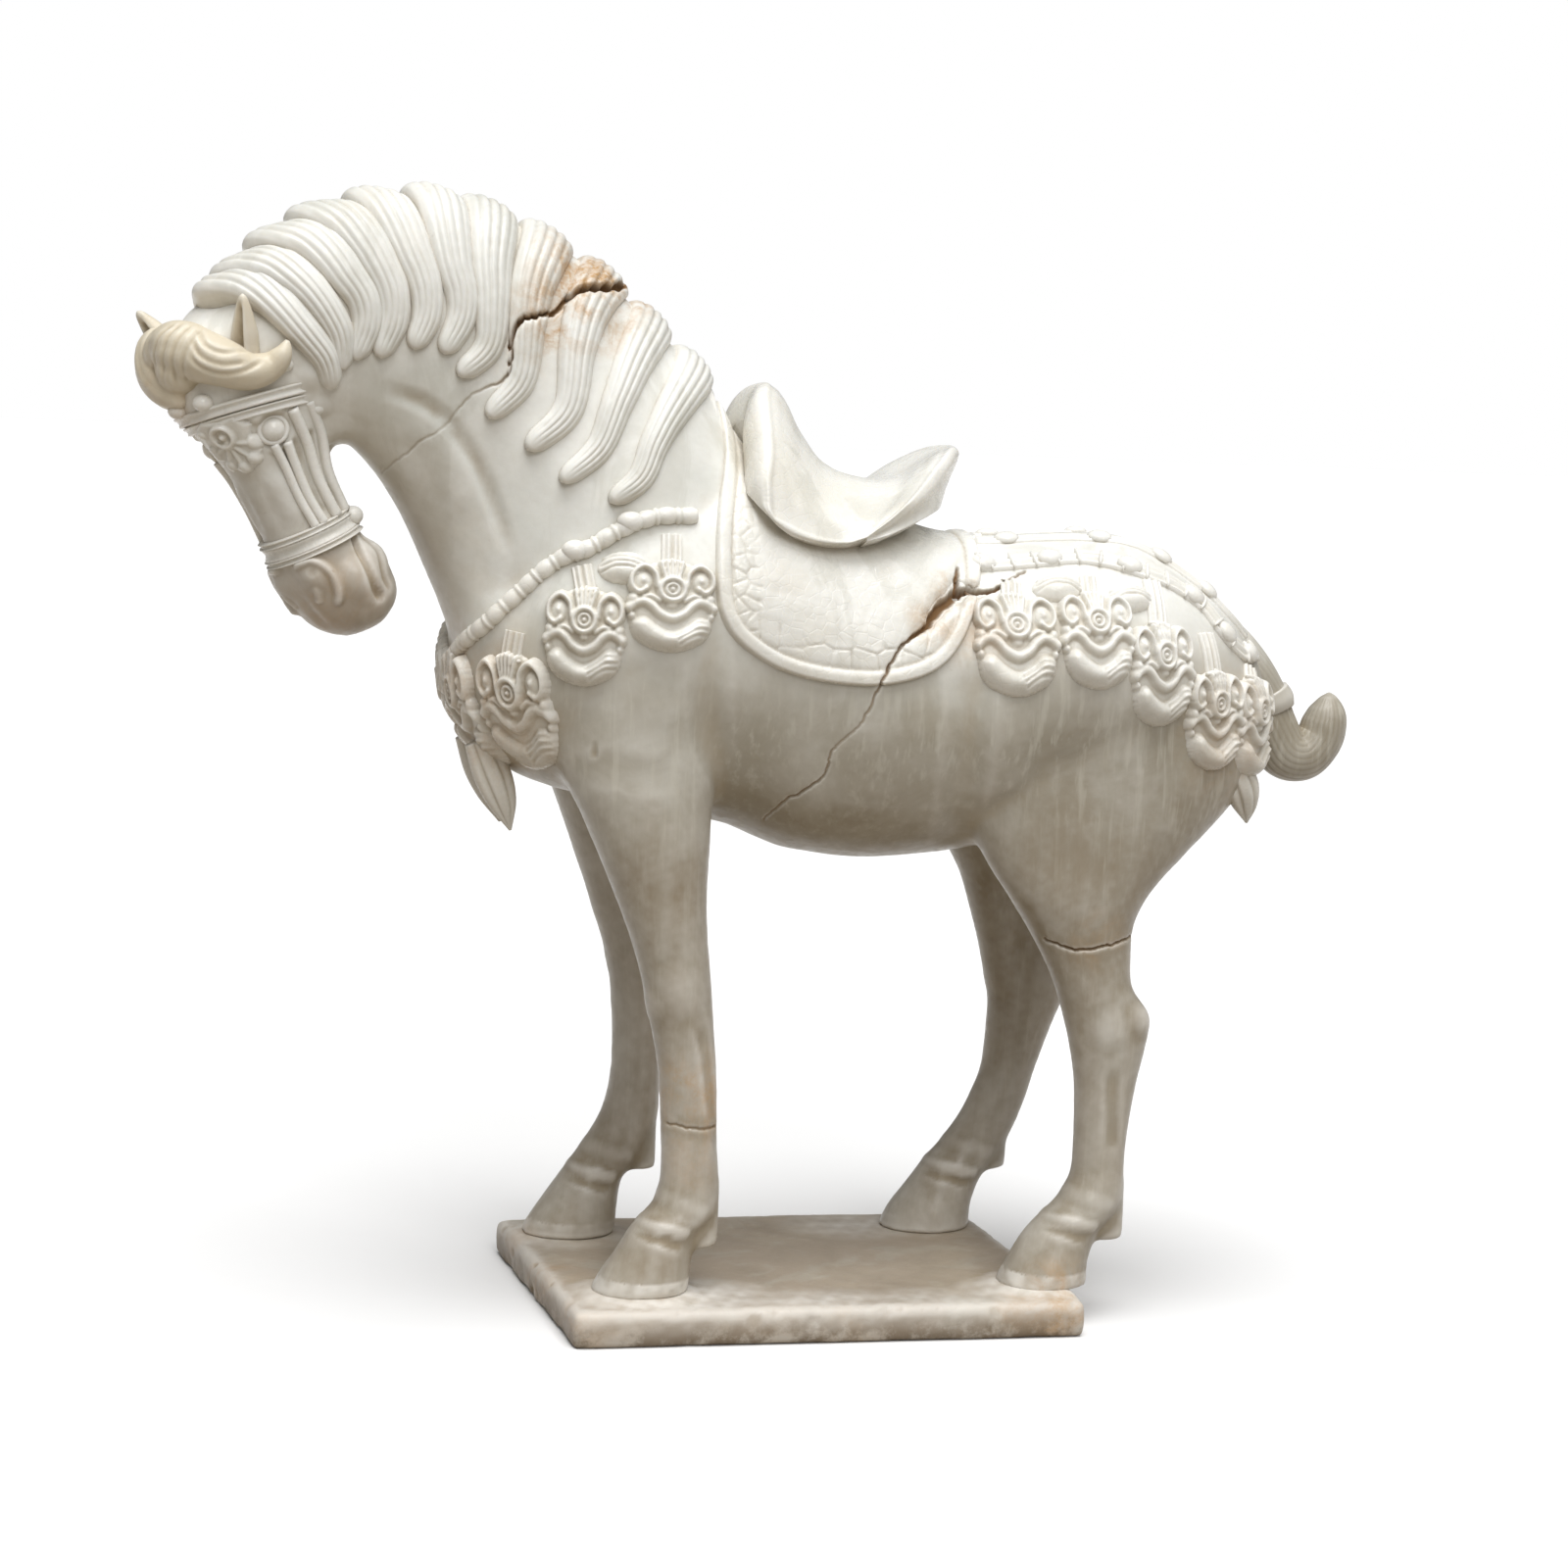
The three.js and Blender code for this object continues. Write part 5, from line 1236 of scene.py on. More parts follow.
CLOTH_EDGE = [(-37, 330), (-38, 300), (-39.6, 289.6), (-43, 277), (-44.8, 264), (-44.8, 248.6), (-41.8, 239),
              (-36.2, 232.6), (-26, 226.2), (-14.4, 222.4), (-1.2, 220.6), (12, 220.6), (25.4, 223.6),
              (34.4, 228.6), (41, 236.2), (45.5, 244.2), (49, 252), (52, 260), (54, 266), (55, 276),
              (55, 330)]
# Edges of the saddle from the middle of the back down to the foot of a flap: x, distance from the
# middle and height
POMMEL = np.array([(-20.5, 0, 319.2), (-22.3, 8, 318.2), (-24, 14, 315.8), (-25.3, 23, 309.5),
                   (-25.9, 30, 303), (-26.9, 37, 295), (-28.5, 41.5, 287), (-28.5, 44, 280),
                   (-26, 45.5, 274.5)])
CANTLE = np.array([(49, 0, 300), (47.3, 8, 299.7), (44.5, 14, 298.7), (38.7, 24, 294.7), (31.5, 32, 288),
                   (23, 40, 281), (14, 43, 274), (7, 44, 269.6)])
CANTLE_FOOT = np.array([(42.6, 0, 280.5), (42.2, 6, 280.4), (41.3, 12, 280), (38, 22, 278.8), (32.3, 31, 277),
                        (24, 38, 274), (14.2, 43, 270.4), (7, 44, 268.4)])
# Stations of the seat: x and height in the middle, x and height at the foot of the flap
SEAT = np.array([(-20.5, 319.2, -26, 274.5), (-16.4, 318, -24.8, 273.3), (-12.8, 314.2, -23.2, 272.1),
                 (-7, 303.2, -20, 270.1), (0.3, 294.1, -15.5, 268.5), (9.2, 289.7, -10.5, 267.4),
                 (19.8, 288.1, -5.5, 267.0), (28.5, 289.7, -0.8, 267.2), (37, 295.4, 3, 268.2),
                 (44, 299.2, 5.6, 269.1), (49, 300, 7, 269.6)])


def crazing(points, inside):
    """The net of cuts along the front and lower edge of the cloth, from 0 between them to 1 in them."""
    draw = np.random.default_rng(SEED + 5)
    flat = np.stack([points[:, 0], points[:, 2]], 1)
    total = np.zeros(len(points))
    for low, high, pitch, where in (
            ((-46, 232), (-29, 285), 4.6, smoothstep(-28, -31, points[:, 0])),
            ((-36, 220), (56, 243), 8.5, smoothstep(15, 12, inside) * smoothstep(-33, -30, points[:, 0]))):
        counts = ((np.array(high) - low) / pitch).astype(int) + 1
        cells = np.stack(np.meshgrid(np.arange(counts[0]), np.arange(counts[1])), -1).reshape(-1, 2)
        seeds = np.array(low) + (cells + draw.uniform(-0.38, 0.38, cells.shape)) * pitch
        chosen = np.where(where > 0)[0]
        apart = np.sort(np.linalg.norm(flat[chosen][:, None] - seeds[None], axis=2), axis=1)
        wander = 0.5 + 0.5 * ripples(points[chosen], 11, 44)
        line = 1 - smoothstep(0.15, 0.95, apart[:, 1] - apart[:, 0])
        total[chosen] = np.maximum(total[chosen], line * where[chosen] * wander.clip(0.15, 1))
    return total


def build_cloth(ground):
    """The saddle cloth: a bordered layer over the back, cracked and broken at its rear corner."""
    x = np.linspace(-47, 57, 230)
    turn = np.radians(np.linspace(-104, 104, 450))
    grid_x, grid_turn = np.meshgrid(x, turn)
    out = np.stack([0 * grid_turn, np.sin(grid_turn), np.cos(grid_turn)], -1).reshape(-1, 3)
    start = np.stack([grid_x, 0 * grid_x, 0 * grid_x + 222], -1).reshape(-1, 3)
    seat, _normal, _found = ground.seats(start, out, 120)
    reach = np.einsum("ij,ij->i", seat - start, out).reshape(grid_x.shape)
    seat = start + out * smoothed(reach, 30).reshape(-1, 1)
    inside = -polygon_distance(seat[:, [0, 2]], closed(CLOTH_EDGE, 260))
    border = np.sqrt(np.clip(1 - ((inside - 2.7) / 2.8) ** 2, 0, 1))
    panel = smoothstep(0.2, 1.6, inside)
    groove = np.exp(-((inside - 6.0) / 0.9) ** 2)
    lift = -1.0 + 2.6 * panel + 0.95 * border - 0.30 * groove + 0.12 * ripples(seat, 9, 41)
    lift -= 0.6 * crazing(seat, inside) * smoothstep(5.0, 6.8, inside)
    top = (seat + out * lift[:, None]).reshape(*grid_x.shape, 3)
    under = (seat - out * 2.4).reshape(*grid_x.shape, 3)
    obj = relief_mesh("saddle_cloth", top, under, (inside > -0.6).reshape(grid_x.shape))
    shape = Carving(obj)
    shape.split(BARREL_BREAK, depth=2.4, seed=20)
    shape.split(BRANCH_BREAK, depth=2.2, seed=40)
    shape.finish()
    return add_piece(obj, "cream_marble",
                     ["saddle_cloth", "saddle_cloth_corner_near", "saddle_cloth_corner_off"])


def edge_shape(edge, at):
    """How far an edge of the saddle bows in x on its way to the foot, and its height as a share."""
    place = 2 / np.pi * np.arcsin(edge[:, 1] / edge[-1, 1])
    along = monotone(place, edge[:, 0], at)
    straight = edge[0, 0] + (edge[-1, 0] - edge[0, 0]) * at ** 1.4
    height = (monotone(place, edge[:, 2], at) - edge[-1, 2]) / (edge[0, 2] - edge[-1, 2])
    return along - straight, height


def saddle_half(ground):
    """Rows of points on the near half of the saddle, from the pommel's front to the cantle's foot."""
    part = np.sin(np.linspace(0, 1, 84) * np.pi / 2)
    far = run_of(SEAT[:, :2])
    share = np.linspace(0, 1, 130)
    stations = columns(far / far[-1], SEAT, share)
    (front_bow, front_height), (rear_bow, rear_height) = edge_shape(POMMEL, part), edge_shape(CANTLE, part)
    rows = []
    for way, (x, top, foot_x, foot) in zip(share, stations):
        blend = smoothstep(0, 1, way)
        height = front_height * (1 - blend) + rear_height * blend
        bow = front_bow * (1 - smoothstep(0, 0.35, way)) + rear_bow * smoothstep(0.7, 1, way)
        y = -(45.5 - 1.5 * way) * np.sin(part * np.pi / 2)
        rows.append(np.stack([x + (foot_x - x) * part ** 1.4 + bow, y, foot + (top - foot) * height], 1))
    seat = np.array(rows)
    long_way = np.cumsum(np.linalg.norm(np.diff(seat, axis=0, prepend=seat[:1]), axis=2), 0)
    wide_way = np.cumsum(np.linalg.norm(np.diff(seat, axis=1, prepend=seat[:, :1]), axis=2), 1)
    edge = np.minimum(np.minimum(long_way, long_way[-1] - long_way), wide_way[:, -1:] - wide_way)
    lip = 0.8 * smoothstep(0, 1.2, edge) * (1 - smoothstep(1.8, 3.6, edge))
    normal = unit(np.cross(np.gradient(seat, axis=1), np.gradient(seat, axis=0)))
    outward_side = normal[..., 2] - normal[..., 1] * part
    seat = seat + normal * (lip * np.sign(outward_side))[..., None]
    arch = unit(np.stack([0 * part, -part * 0.9, np.sqrt(np.clip(1 - part ** 2, 0, 1)) + 0.05], 1))
    turn = np.linspace(0, np.pi / 2, 14)[1:, None, None]
    free = (1 - smoothstep(0.55, 0.95, part))[:, None]
    front = seat[0] + free * (np.array((-5.5, 0, 0)) * np.sin(turn) - 14 * arch * (1 - np.cos(turn)))
    place = 2 / np.pi * np.arcsin(CANTLE[:, 1] / CANTLE[-1, 1])
    foot = np.stack([monotone(place, CANTLE_FOOT[:, k], part) for k in range(3)], 1) * (1, -1, 1)
    step = np.linspace(0, 1, 18)[1:, None, None]
    backward = np.array((2.0, 0, 0)) * np.sin(np.pi * step ** 0.42) * (1 - part ** 3)[:, None]
    inward = np.array((0, 2.2, 0)) * np.sin(np.pi * step) * (4 * part * (1 - part))[:, None]
    rear = seat[-1] + (foot - seat[-1]) * step + backward + inward
    half = np.concatenate([front[::-1], seat, rear])
    for row in half:
        for point, out in zip(row[part > 0.3], part[part > 0.3]):
            hit = ground.cast(point + NEAR_VIEW * 60, -NEAR_VIEW, 120)
            if hit is not None:
                gap = (np.array(hit[0]) - point) @ NEAR_VIEW + 1.3
                buried = np.clip(gap, 0, 9) * smoothstep(0.3, 0.5, out)
                point += NEAR_VIEW * (buried + (gap - buried) * smoothstep(0.65, 0.98, out))
    return half


def build_saddle(ground):
    """A saddle with an upright pommel, flaps that lie on the cloth and a cantle that leans back."""
    near = saddle_half(ground)
    outer = np.concatenate([near[:, ::-1], near[:, 1:] * (1, -1, 1)], 1)
    core = np.array((8, 0, 255))
    inner = core + (outer[:, ::-1] - core) * 0.6
    obj = mesh_object("saddle", *tube(np.concatenate([outer, inner], 1)))
    set_points(obj.data, relaxed(get_points(obj.data), get_edges(obj.data), 4, 0.5))
    shape = Carving(obj)
    shape.ripple((0.10, 12, 51))
    shape.finish()
    return add_piece(obj, "cream_marble", ["saddle"])


# Straps, ornaments and bridle

# Cords on the cheek, by distance from the poll and degrees, with their radius
CHEEK_CORDS = [
    ([(50, 42), (58, 38), (69, 34), (80, 29)], 1.5),
    ([(51, 30), (59, 27), (70, 22), (80, 17)], 1.6),
    ([(42, 18), (54, 10), (66, 2), (80, -6)], 1.9),
    ([(42, 2), (54, -10), (66, -20), (80, -30)], 1.9),
]
# Knobs on the browband: distance from the poll, degrees and radius
KNOBS = [(28.5, 76, 3.3), (33.5, -3, 3.4), (39, -12, 3.0), (45.5, -4, 2.6), (28, 12, 2.6)]


def laid(ground, line, *size):
    """A strap whose line faces away from the barrel."""
    return Strap(ground, line, [outward(p) for p in line], *size)


def build_straps(ground):
    """The beaded rope round the breast, and the studded straps over the rump and beside the spine."""
    line = BREAST_LINE[::-1] + [(x, -y, z) for x, y, z in BREAST_LINE[1:]]
    breast = laid(ground, line, 420, 2.9, 2.9, bead_profile(7.4))
    for share in (0.10, 0.19, 0.81, 0.90):
        place = breast.seat[int(share * len(breast.seat))]
        breast.parts.append(ball(place + outward(place) * 1.5, (4.6, 3.4, 3.4)))
    dress("breast_strap", breast.parts, "cream_marble", ["breast_strap"])
    for label, side in SIDES:
        turned = np.array((1, side, 1))
        crupper = laid(ground, np.array(CRUPPER_LINE) * turned, 260, 3.6, 1.9, flat_profile(2))
        for share in (0.02, 0.22, 0.45, 0.66, 0.80, 0.92):
            crupper.stud(int(share * crupper.last), 1.2, (3.6, 4.6, 2.6))
        for k in range(10, crupper.last - 7, 17):
            crupper.stud(k, 1.3, (4.3, 0.8, 1.3), 8, 16)
        dress(f"crupper_strap_{label}", crupper.parts, "cream_marble", [f"crupper_strap_{label}"])
        spine = laid(ground, np.array(SPINE_LINE) * turned, 200, 3.0, 1.5, flat_profile(3))
        for share in (0.12, 0.42, 0.62, 0.8):
            spine.stud(int(share * spine.last), 1.0, (3.8, 4.4, 2.2))
        dress(f"spine_strap_{label}", spine.parts, "cream_marble", [])


def build_pendants(ground, spacing):
    """The pendants with their short straps, the tongues and the tassels of both sides."""
    for label, side in SIDES:
        turned = np.array((1, side, 1))
        for name, at, out, width, height, strap_top in PENDANTS:
            proud = 4.6 if name.startswith("breast") else 4.3
            at, out, top = np.array(at) * turned, unit(np.array(out) * turned), np.array(strap_top) * turned
            pendant = relief(f"{name}_{label}", ground, at, out, width, height, proud,
                             lambda square: pendant_height(square, side > 0), spacing)
            up = unit(np.array((0, 0, 1.0)) - out * out[2])
            foot = at + up * (height * 0.44)
            line = [top, (top + foot) / 2 + out * 0.5, foot]
            strap = Strap(ground, line, [out] * 3, 40, 3.5, 1.9, flat_profile(3))
            strap.stud(strap.last - 2, 1.2, (4.4, 1.3, 1.7), 10, 20)
            dress(f"{name}_strap_{label}", strap.parts, "cream_marble", [])
            add_piece(pendant, "cream_marble", [f"{name}_{label}"])
        for name, line in TONGUES:
            path = np.array(line) * np.append(turned, 1)
            tongue = tube(fluted(path, 6, 0.22, rows=70, flatten=0.75))
            nodes = [f"{name}_{label}"] if name.startswith("rump") else []
            dress(f"{name}_{label}", [tongue], "cream_marble", nodes)
        for name, at, out, width, height in TASSELS:
            tassel = relief(f"{name}_{label}", ground, np.array(at) * turned, np.array(out) * turned, width,
                            height, 3.6, tassel_height, spacing)
            add_piece(tassel, "cream_marble", [f"{name}_{label}"])


def head_band(start, end, proud, droop=0.0):
    """A band round the head, with a raised line along each edge, that droops toward the cheeks."""
    share = np.linspace(0, 1, 16)
    turn = np.linspace(0, 2 * np.pi, 96, endpoint=False)
    sag = droop * np.clip(1 - np.sin(turn), 0, 1.2)
    crown = np.clip(1 - np.abs(2 * share - 1) ** 6, 0, 1) ** 0.5
    crown = crown * (0.75 + 0.25 * np.cos(2 * np.pi * share))
    sunk_edges = [(1, -2.0), (0, -2.0)]
    loops = []
    for way, lift in [*zip(share, proud * crown), *sunk_edges]:
        middle, half, depth = head_at(start + (end - start) * way + sag)
        loops.append(middle + NEAR * ((half + lift) * np.cos(turn))[:, None]
                     + FACE * ((depth + lift) * np.sin(turn))[:, None])
    return closed_grid(np.array(loops))


def head_cord(path, radius):
    """A round cord that follows the head."""
    seats = head_point(*np.array(path, float).T, 0.5)[0]
    line = np.hstack([seats, np.full((len(seats), 1), radius)])
    return tube(fluted(line, 2, 0.0, rows=40, sides=12))


def eye_parts(side):
    """The lid of an eye, a thin closed roll, and the ball inside it."""
    distance, angle = mirrored([(45.5, 38)], side)[0]
    points, outs = head_point(distance, angle, -0.9)
    point, out = points[0], outs[0]
    along = unit(np.cross(DOWN, out))
    rise = np.cross(out, along)
    turn = np.linspace(0, 2 * np.pi, 48, endpoint=False)
    loop = point + out * 0.2 + along * (4.5 * np.cos(turn))[:, None] + rise * (4.2 * np.sin(turn))[:, None]
    small = np.linspace(0, 2 * np.pi, 12, endpoint=False)
    lid = []
    for centre in loop:
        away = unit(centre - point - out * ((centre - point) @ out))
        lid.append(centre + away * (0.85 * np.cos(small))[:, None] + out * (0.85 * np.sin(small))[:, None])
    return [closed_grid(np.array(lid)), ball(point - out * 0.6, (4.0, 4.0, 4.0), rings=24, sides=36)]


def build_bridle():
    """Browband, noseband, cheek straps and eyes."""
    browband = [head_band(30.2, 34.2, 2.1, 5.5), head_band(34.4, 37.6, 1.7, 5.5)]
    for distance, angle, size in KNOBS:
        for turned in (angle, 180 - angle):
            browband.append(ball(head_point(distance, turned, 1.0)[0][0], (size, size, size * 0.85)))
    dress("browband", browband, "cream_marble", ["browband"])
    noseband = [head_band(79.6, 82.0, 2.5), head_band(81.6, 86.4, 1.7), head_band(86.0, 88.4, 2.3)]
    for angle in (-38, 218):
        noseband.append(ball(head_point(83, angle, 1.5)[0][0], (3.4, 3.4, 3.2)))
    dress("noseband", noseband, "cream_marble", ["noseband"])
    for label, side in SIDES:
        cords = [head_cord(mirrored(path, side), radius) for path, radius in CHEEK_CORDS]
        dress(f"cheek_strap_{label}", cords, "cream_marble", [f"cheek_strap_{label}"])
        dress(f"eye_{label}", eye_parts(side), "cream_marble", [])


def build_plaque(ground):
    """The carved flower on the forehead."""
    points, outs = head_point(44.5, 78)
    plaque = relief("forehead_plaque", ground, points[0], outs[0], 20, 21, 3.6, plaque_height, 0.35,
                    above=30.0, upright=tuple(-DOWN))
    return add_piece(plaque, "cream_marble", ["forehead_plaque"])


# Plinth and pins

def build_plinth(voxel):
    """The worn slab, a little out of square, with chipped edges and filler heaped round the hooves."""
    low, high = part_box("plinth")
    skew = 3
    length = (high.x - low.x) / MM / 2 - skew
    width = (high.y - low.y) / MM / 2
    corners = [(-length + skew, -width), (length + skew, -width), (length - skew, width),
               (-length - skew, width)]
    points = [(x, y, 0.0) for x, y in corners] + [(x, y, PLINTH_TOP) for x, y in corners]
    faces = [(3, 2, 1, 0), (4, 5, 6, 7), (0, 1, 5, 4), (1, 2, 6, 5), (2, 3, 7, 6), (3, 0, 4, 7)]
    obj = remeshed(mesh_object("plinth", points, faces), voxel * 1.15)
    points, edges = get_points(obj.data), get_edges(obj.data)
    set_points(obj.data, relaxed(points, edges, 7))
    shape = Carving(obj)
    draw = np.random.default_rng(SEED)
    for _ in range(70):
        corner = draw.integers(4)
        a, b = np.array(corners[corner]), np.array(corners[(corner + 1) % 4])
        place = a + (b - a) * draw.uniform(0.02, 0.98)
        z = PLINTH_TOP if draw.uniform() < 0.6 else draw.uniform(1, 12)
        shape.bump((*place, z), draw.uniform(1.6, 4.2), -draw.uniform(0.3, 1.0))
    shape.refresh()
    shape.ripple((0.22, 30, 61), (0.08, 6, 62))
    flat = shape.points[:, 2] > PLINTH_TOP - 1.5
    for stations, strength in ((NEAR_FORE, 1.0), (NEAR_HIND, 1.0), (OFF_FORE, 0.5), (OFF_HIND, 0.5)):
        _height, front, back, middle, half = stations[0]
        offset = (shape.points[:, :2] - ((front + back) / 2, middle)) / ((back - front) / 2, half)
        away = np.linalg.norm(offset, axis=1)
        rim = 1.5 + 0.2 * ripples(shape.points, 14, 63)
        shape.points[:, 2] += np.where(flat, 1.2 * strength * (1 - smoothstep(0.95, rim, away)), 0)
    shape.points[:, 2] = np.maximum(shape.points[:, 2], 0.0)
    shape.finish()
    return add_piece(obj, "plinth_marble", ["plinth"])


# Marble

def link(tree, source, target):
    tree.links.new(source, target)


def math_node(tree, kind, first, second=0.5, clamp=False):
    node = tree.nodes.new("ShaderNodeMath")
    node.operation = kind
    node.use_clamp = clamp
    for socket, value in zip(node.inputs, (first, second)):
        if isinstance(value, (int, float)):
            socket.default_value = value
        else:
            link(tree, value, socket)
    return node.outputs[0]


def times(tree, first, *others):
    """The product of some sockets and numbers."""
    for other in others:
        first = math_node(tree, "MULTIPLY", first, other)
    return first


def mix_colour(tree, share, first, second):
    node = tree.nodes.new("ShaderNodeMix")
    node.data_type = "RGBA"
    for socket, value in ((node.inputs[0], share), (node.inputs[6], first), (node.inputs[7], second)):
        if isinstance(value, (int, float, tuple)):
            socket.default_value = value
        else:
            link(tree, value, socket)
    return node.outputs[2]


def spread(tree, value, low, high, out_low=0.0, out_high=1.0):
    """A smooth step of a value between two levels."""
    node = tree.nodes.new("ShaderNodeMapRange")
    node.interpolation_type = "SMOOTHSTEP"
    link(tree, value, node.inputs[0])
    for socket, number in zip(node.inputs[1:5], (low, high, out_low, out_high)):
        socket.default_value = number
    return node.outputs[0]


def noise(tree, place, scale, detail=4.0, rough=0.55, twist=0.0):
    node = tree.nodes.new("ShaderNodeTexNoise")
    node.inputs["Scale"].default_value = scale
    node.inputs["Detail"].default_value = detail
    node.inputs["Roughness"].default_value = rough
    node.inputs["Distortion"].default_value = twist
    link(tree, place, node.inputs["Vector"])
    return node.outputs["Fac"]


def patches(tree, place, scale, levels, detail=4.0, rough=0.6, twist=0.0):
    """Soft patches: noise between two levels, and what these two levels stand for."""
    return spread(tree, noise(tree, place, scale, detail, rough, twist), *levels)


def stretched(tree, place, scale, rotation=(0.0, 0.0, 0.0)):
    """The place on the stone, drawn out along one direction."""
    node = tree.nodes.new("ShaderNodeMapping")
    node.inputs["Scale"].default_value = scale
    node.inputs["Rotation"].default_value = rotation
    link(tree, place, node.inputs[0])
    return node.outputs[0]


# Inputs of the old marble: its colours, then its amounts
MARBLE_COLOURS = {"Stone": (0.8, 0.8, 0.76, 1), "Cloud": (0.6, 0.6, 0.54, 1), "Dust": (0.42, 0.35, 0.25, 1)}
MARBLE_AMOUNTS = {"Dust and Shade Amount": 0.6, "Stain Amount": 1.0, "Crazing": 0.1, "Polish": 0.3, "Age": 1.0}


def marble_group():
    """Old polished marble: clouds, veins, dust in the hollows, brown stains and dirty breaks; stone that
    darkens towards the bottom; painted shade on downward faces and where surfaces close in; and a painted
    highlight on raised edges.
    """
    group = bpy.data.node_groups.new("old_marble", "ShaderNodeTree")
    sockets = group.interface
    for name, value in MARBLE_COLOURS.items():
        sockets.new_socket(name, in_out="INPUT", socket_type="NodeSocketColor").default_value = value
    for name, value in MARBLE_AMOUNTS.items():
        sockets.new_socket(name, in_out="INPUT", socket_type="NodeSocketFloat").default_value = value
    sockets.new_socket("Colour", in_out="OUTPUT", socket_type="NodeSocketColor")
    sockets.new_socket("Roughness", in_out="OUTPUT", socket_type="NodeSocketFloat")
    sockets.new_socket("Height", in_out="OUTPUT", socket_type="NodeSocketFloat")
    into = group.nodes.new("NodeGroupInput").outputs
    out = group.nodes.new("NodeGroupOutput").inputs
    place = group.nodes.new("ShaderNodeTexCoord").outputs["Object"]
    fine = noise(group, place, 420, 3, 0.6)
    colour = clean_marble(group, into, place, fine)
    colour = shaded_and_darkened_marble(group, into, place, colour)
    colour, dust_and_painted_shade, crack = wear_and_painted_light(group, into, place, colour)
    link(group, colour, out["Colour"])

    rough = math_node(group, "ADD", into["Polish"], spread(group, fine, 0.3, 0.7, -0.05, 0.10))
    rough = math_node(group, "ADD", rough, times(group, dust_and_painted_shade, 0.35))
    rough = math_node(group, "ADD", rough, times(group, crack, 0.4), True)
    link(group, rough, out["Roughness"])

    cells = group.nodes.new("ShaderNodeTexVoronoi")
    cells.feature = "DISTANCE_TO_EDGE"
    cells.inputs["Scale"].default_value = 260
    link(group, place, cells.inputs["Vector"])
    craze = times(group, spread(group, cells.outputs["Distance"], 0.0, 0.10), into["Crazing"])
    height = math_node(group, "ADD", times(group, fine, 0.12), craze)
    height = math_node(group, "ADD", height, times(group, noise(group, place, 120, 4), 0.15))
    link(group, height, out["Height"])
    return group


def clean_marble(group, into, place, fine):
    """The stone itself: grey clouds, slanting veins, warm patches and a fine grain."""
    cloud = patches(group, place, 16, (0.42, 0.68), 5, 0.6, 0.6)
    colour = mix_colour(group, times(group, cloud, 0.75), into["Stone"], into["Cloud"])
    slanting = stretched(group, place, (1.0, 1.0, 0.22), (0.2, 0.35, 0.1))
    vein = patches(group, slanting, 34, (0.50, 0.62), 6, 0.62, 1.4)
    colour = mix_colour(group, times(group, vein, 0.30), colour, (0.52, 0.51, 0.44, 1))
    warm = patches(group, place, 26, (0.52, 0.72))
    colour = mix_colour(group, times(group, warm, 0.20), colour, (0.72, 0.62, 0.46, 1))
    return mix_colour(group, spread(group, fine, 0.35, 0.7, 0.0, 0.10), colour, (0.55, 0.53, 0.46, 1))


def shaded_and_darkened_marble(group, into, place, colour):
    """Painted shade on faces turned down, darker and browner stone towards the bottom, on the haunch and the
    legs, and a browned muzzle.
    """
    facing = group.nodes.new("ShaderNodeSeparateXYZ")
    link(group, group.nodes.new("ShaderNodeTexCoord").outputs["Normal"], facing.inputs[0])
    at = group.nodes.new("ShaderNodeSeparateXYZ")
    link(group, place, at.inputs[0])
    x, _y, z = at.outputs
    upright = stretched(group, place, (1.0, 1.0, 0.09))
    broad = patches(group, place, 22, (0.32, 0.66, 0.45, 1.0), 4, 0.6, 0.4)
    mottle = patches(group, place, 26, (0.25, 0.68, 0.55, 1.0), 5, 0.62, 0.5)
    runs = patches(group, upright, 150, (0.30, 0.68, 0.55, 1.0))
    darkening = into["Age"]

    # Painted shade: faces turned down are mixed toward a dark brown
    under = times(group, spread(group, facing.outputs["Z"], 0.15, -0.85), broad,
                  spread(group, darkening, 0.0, 1.0, 0.25, 1.0), 0.62)
    colour = mix_colour(group, under, colour, (0.40, 0.33, 0.22, 1))
    # Darker, browner stone below the top of the body, darker still on the back of the haunch and on the legs
    darker_low = times(group, spread(group, z, 0.256, 0.203), mottle, darkening)
    colour = mix_colour(group, times(group, darker_low, 0.85), colour, (0.33, 0.29, 0.215, 1))
    haunch = times(group, spread(group, x, 0.045, 0.085), darker_low, spread(group, z, 0.105, 0.14, 0.35, 1.0),
                   0.50)
    colour = mix_colour(group, haunch, colour, (0.21, 0.17, 0.11, 1))
    brushed = times(group, patches(group, upright, 330, (0.50, 0.70), 3), darker_low, 0.5)
    colour = mix_colour(group, brushed, colour, (0.62, 0.60, 0.52, 1))
    low = times(group, spread(group, z, 0.205, 0.15), runs, mottle, darkening, 0.80)
    colour = mix_colour(group, low, colour, (0.28, 0.22, 0.145, 1))
    muzzle = times(group, spread(group, x, -0.120, -0.148), spread(group, z, 0.292, 0.238), mottle, darkening, 0.75)
    return mix_colour(group, muzzle, colour, (0.32, 0.245, 0.165, 1))


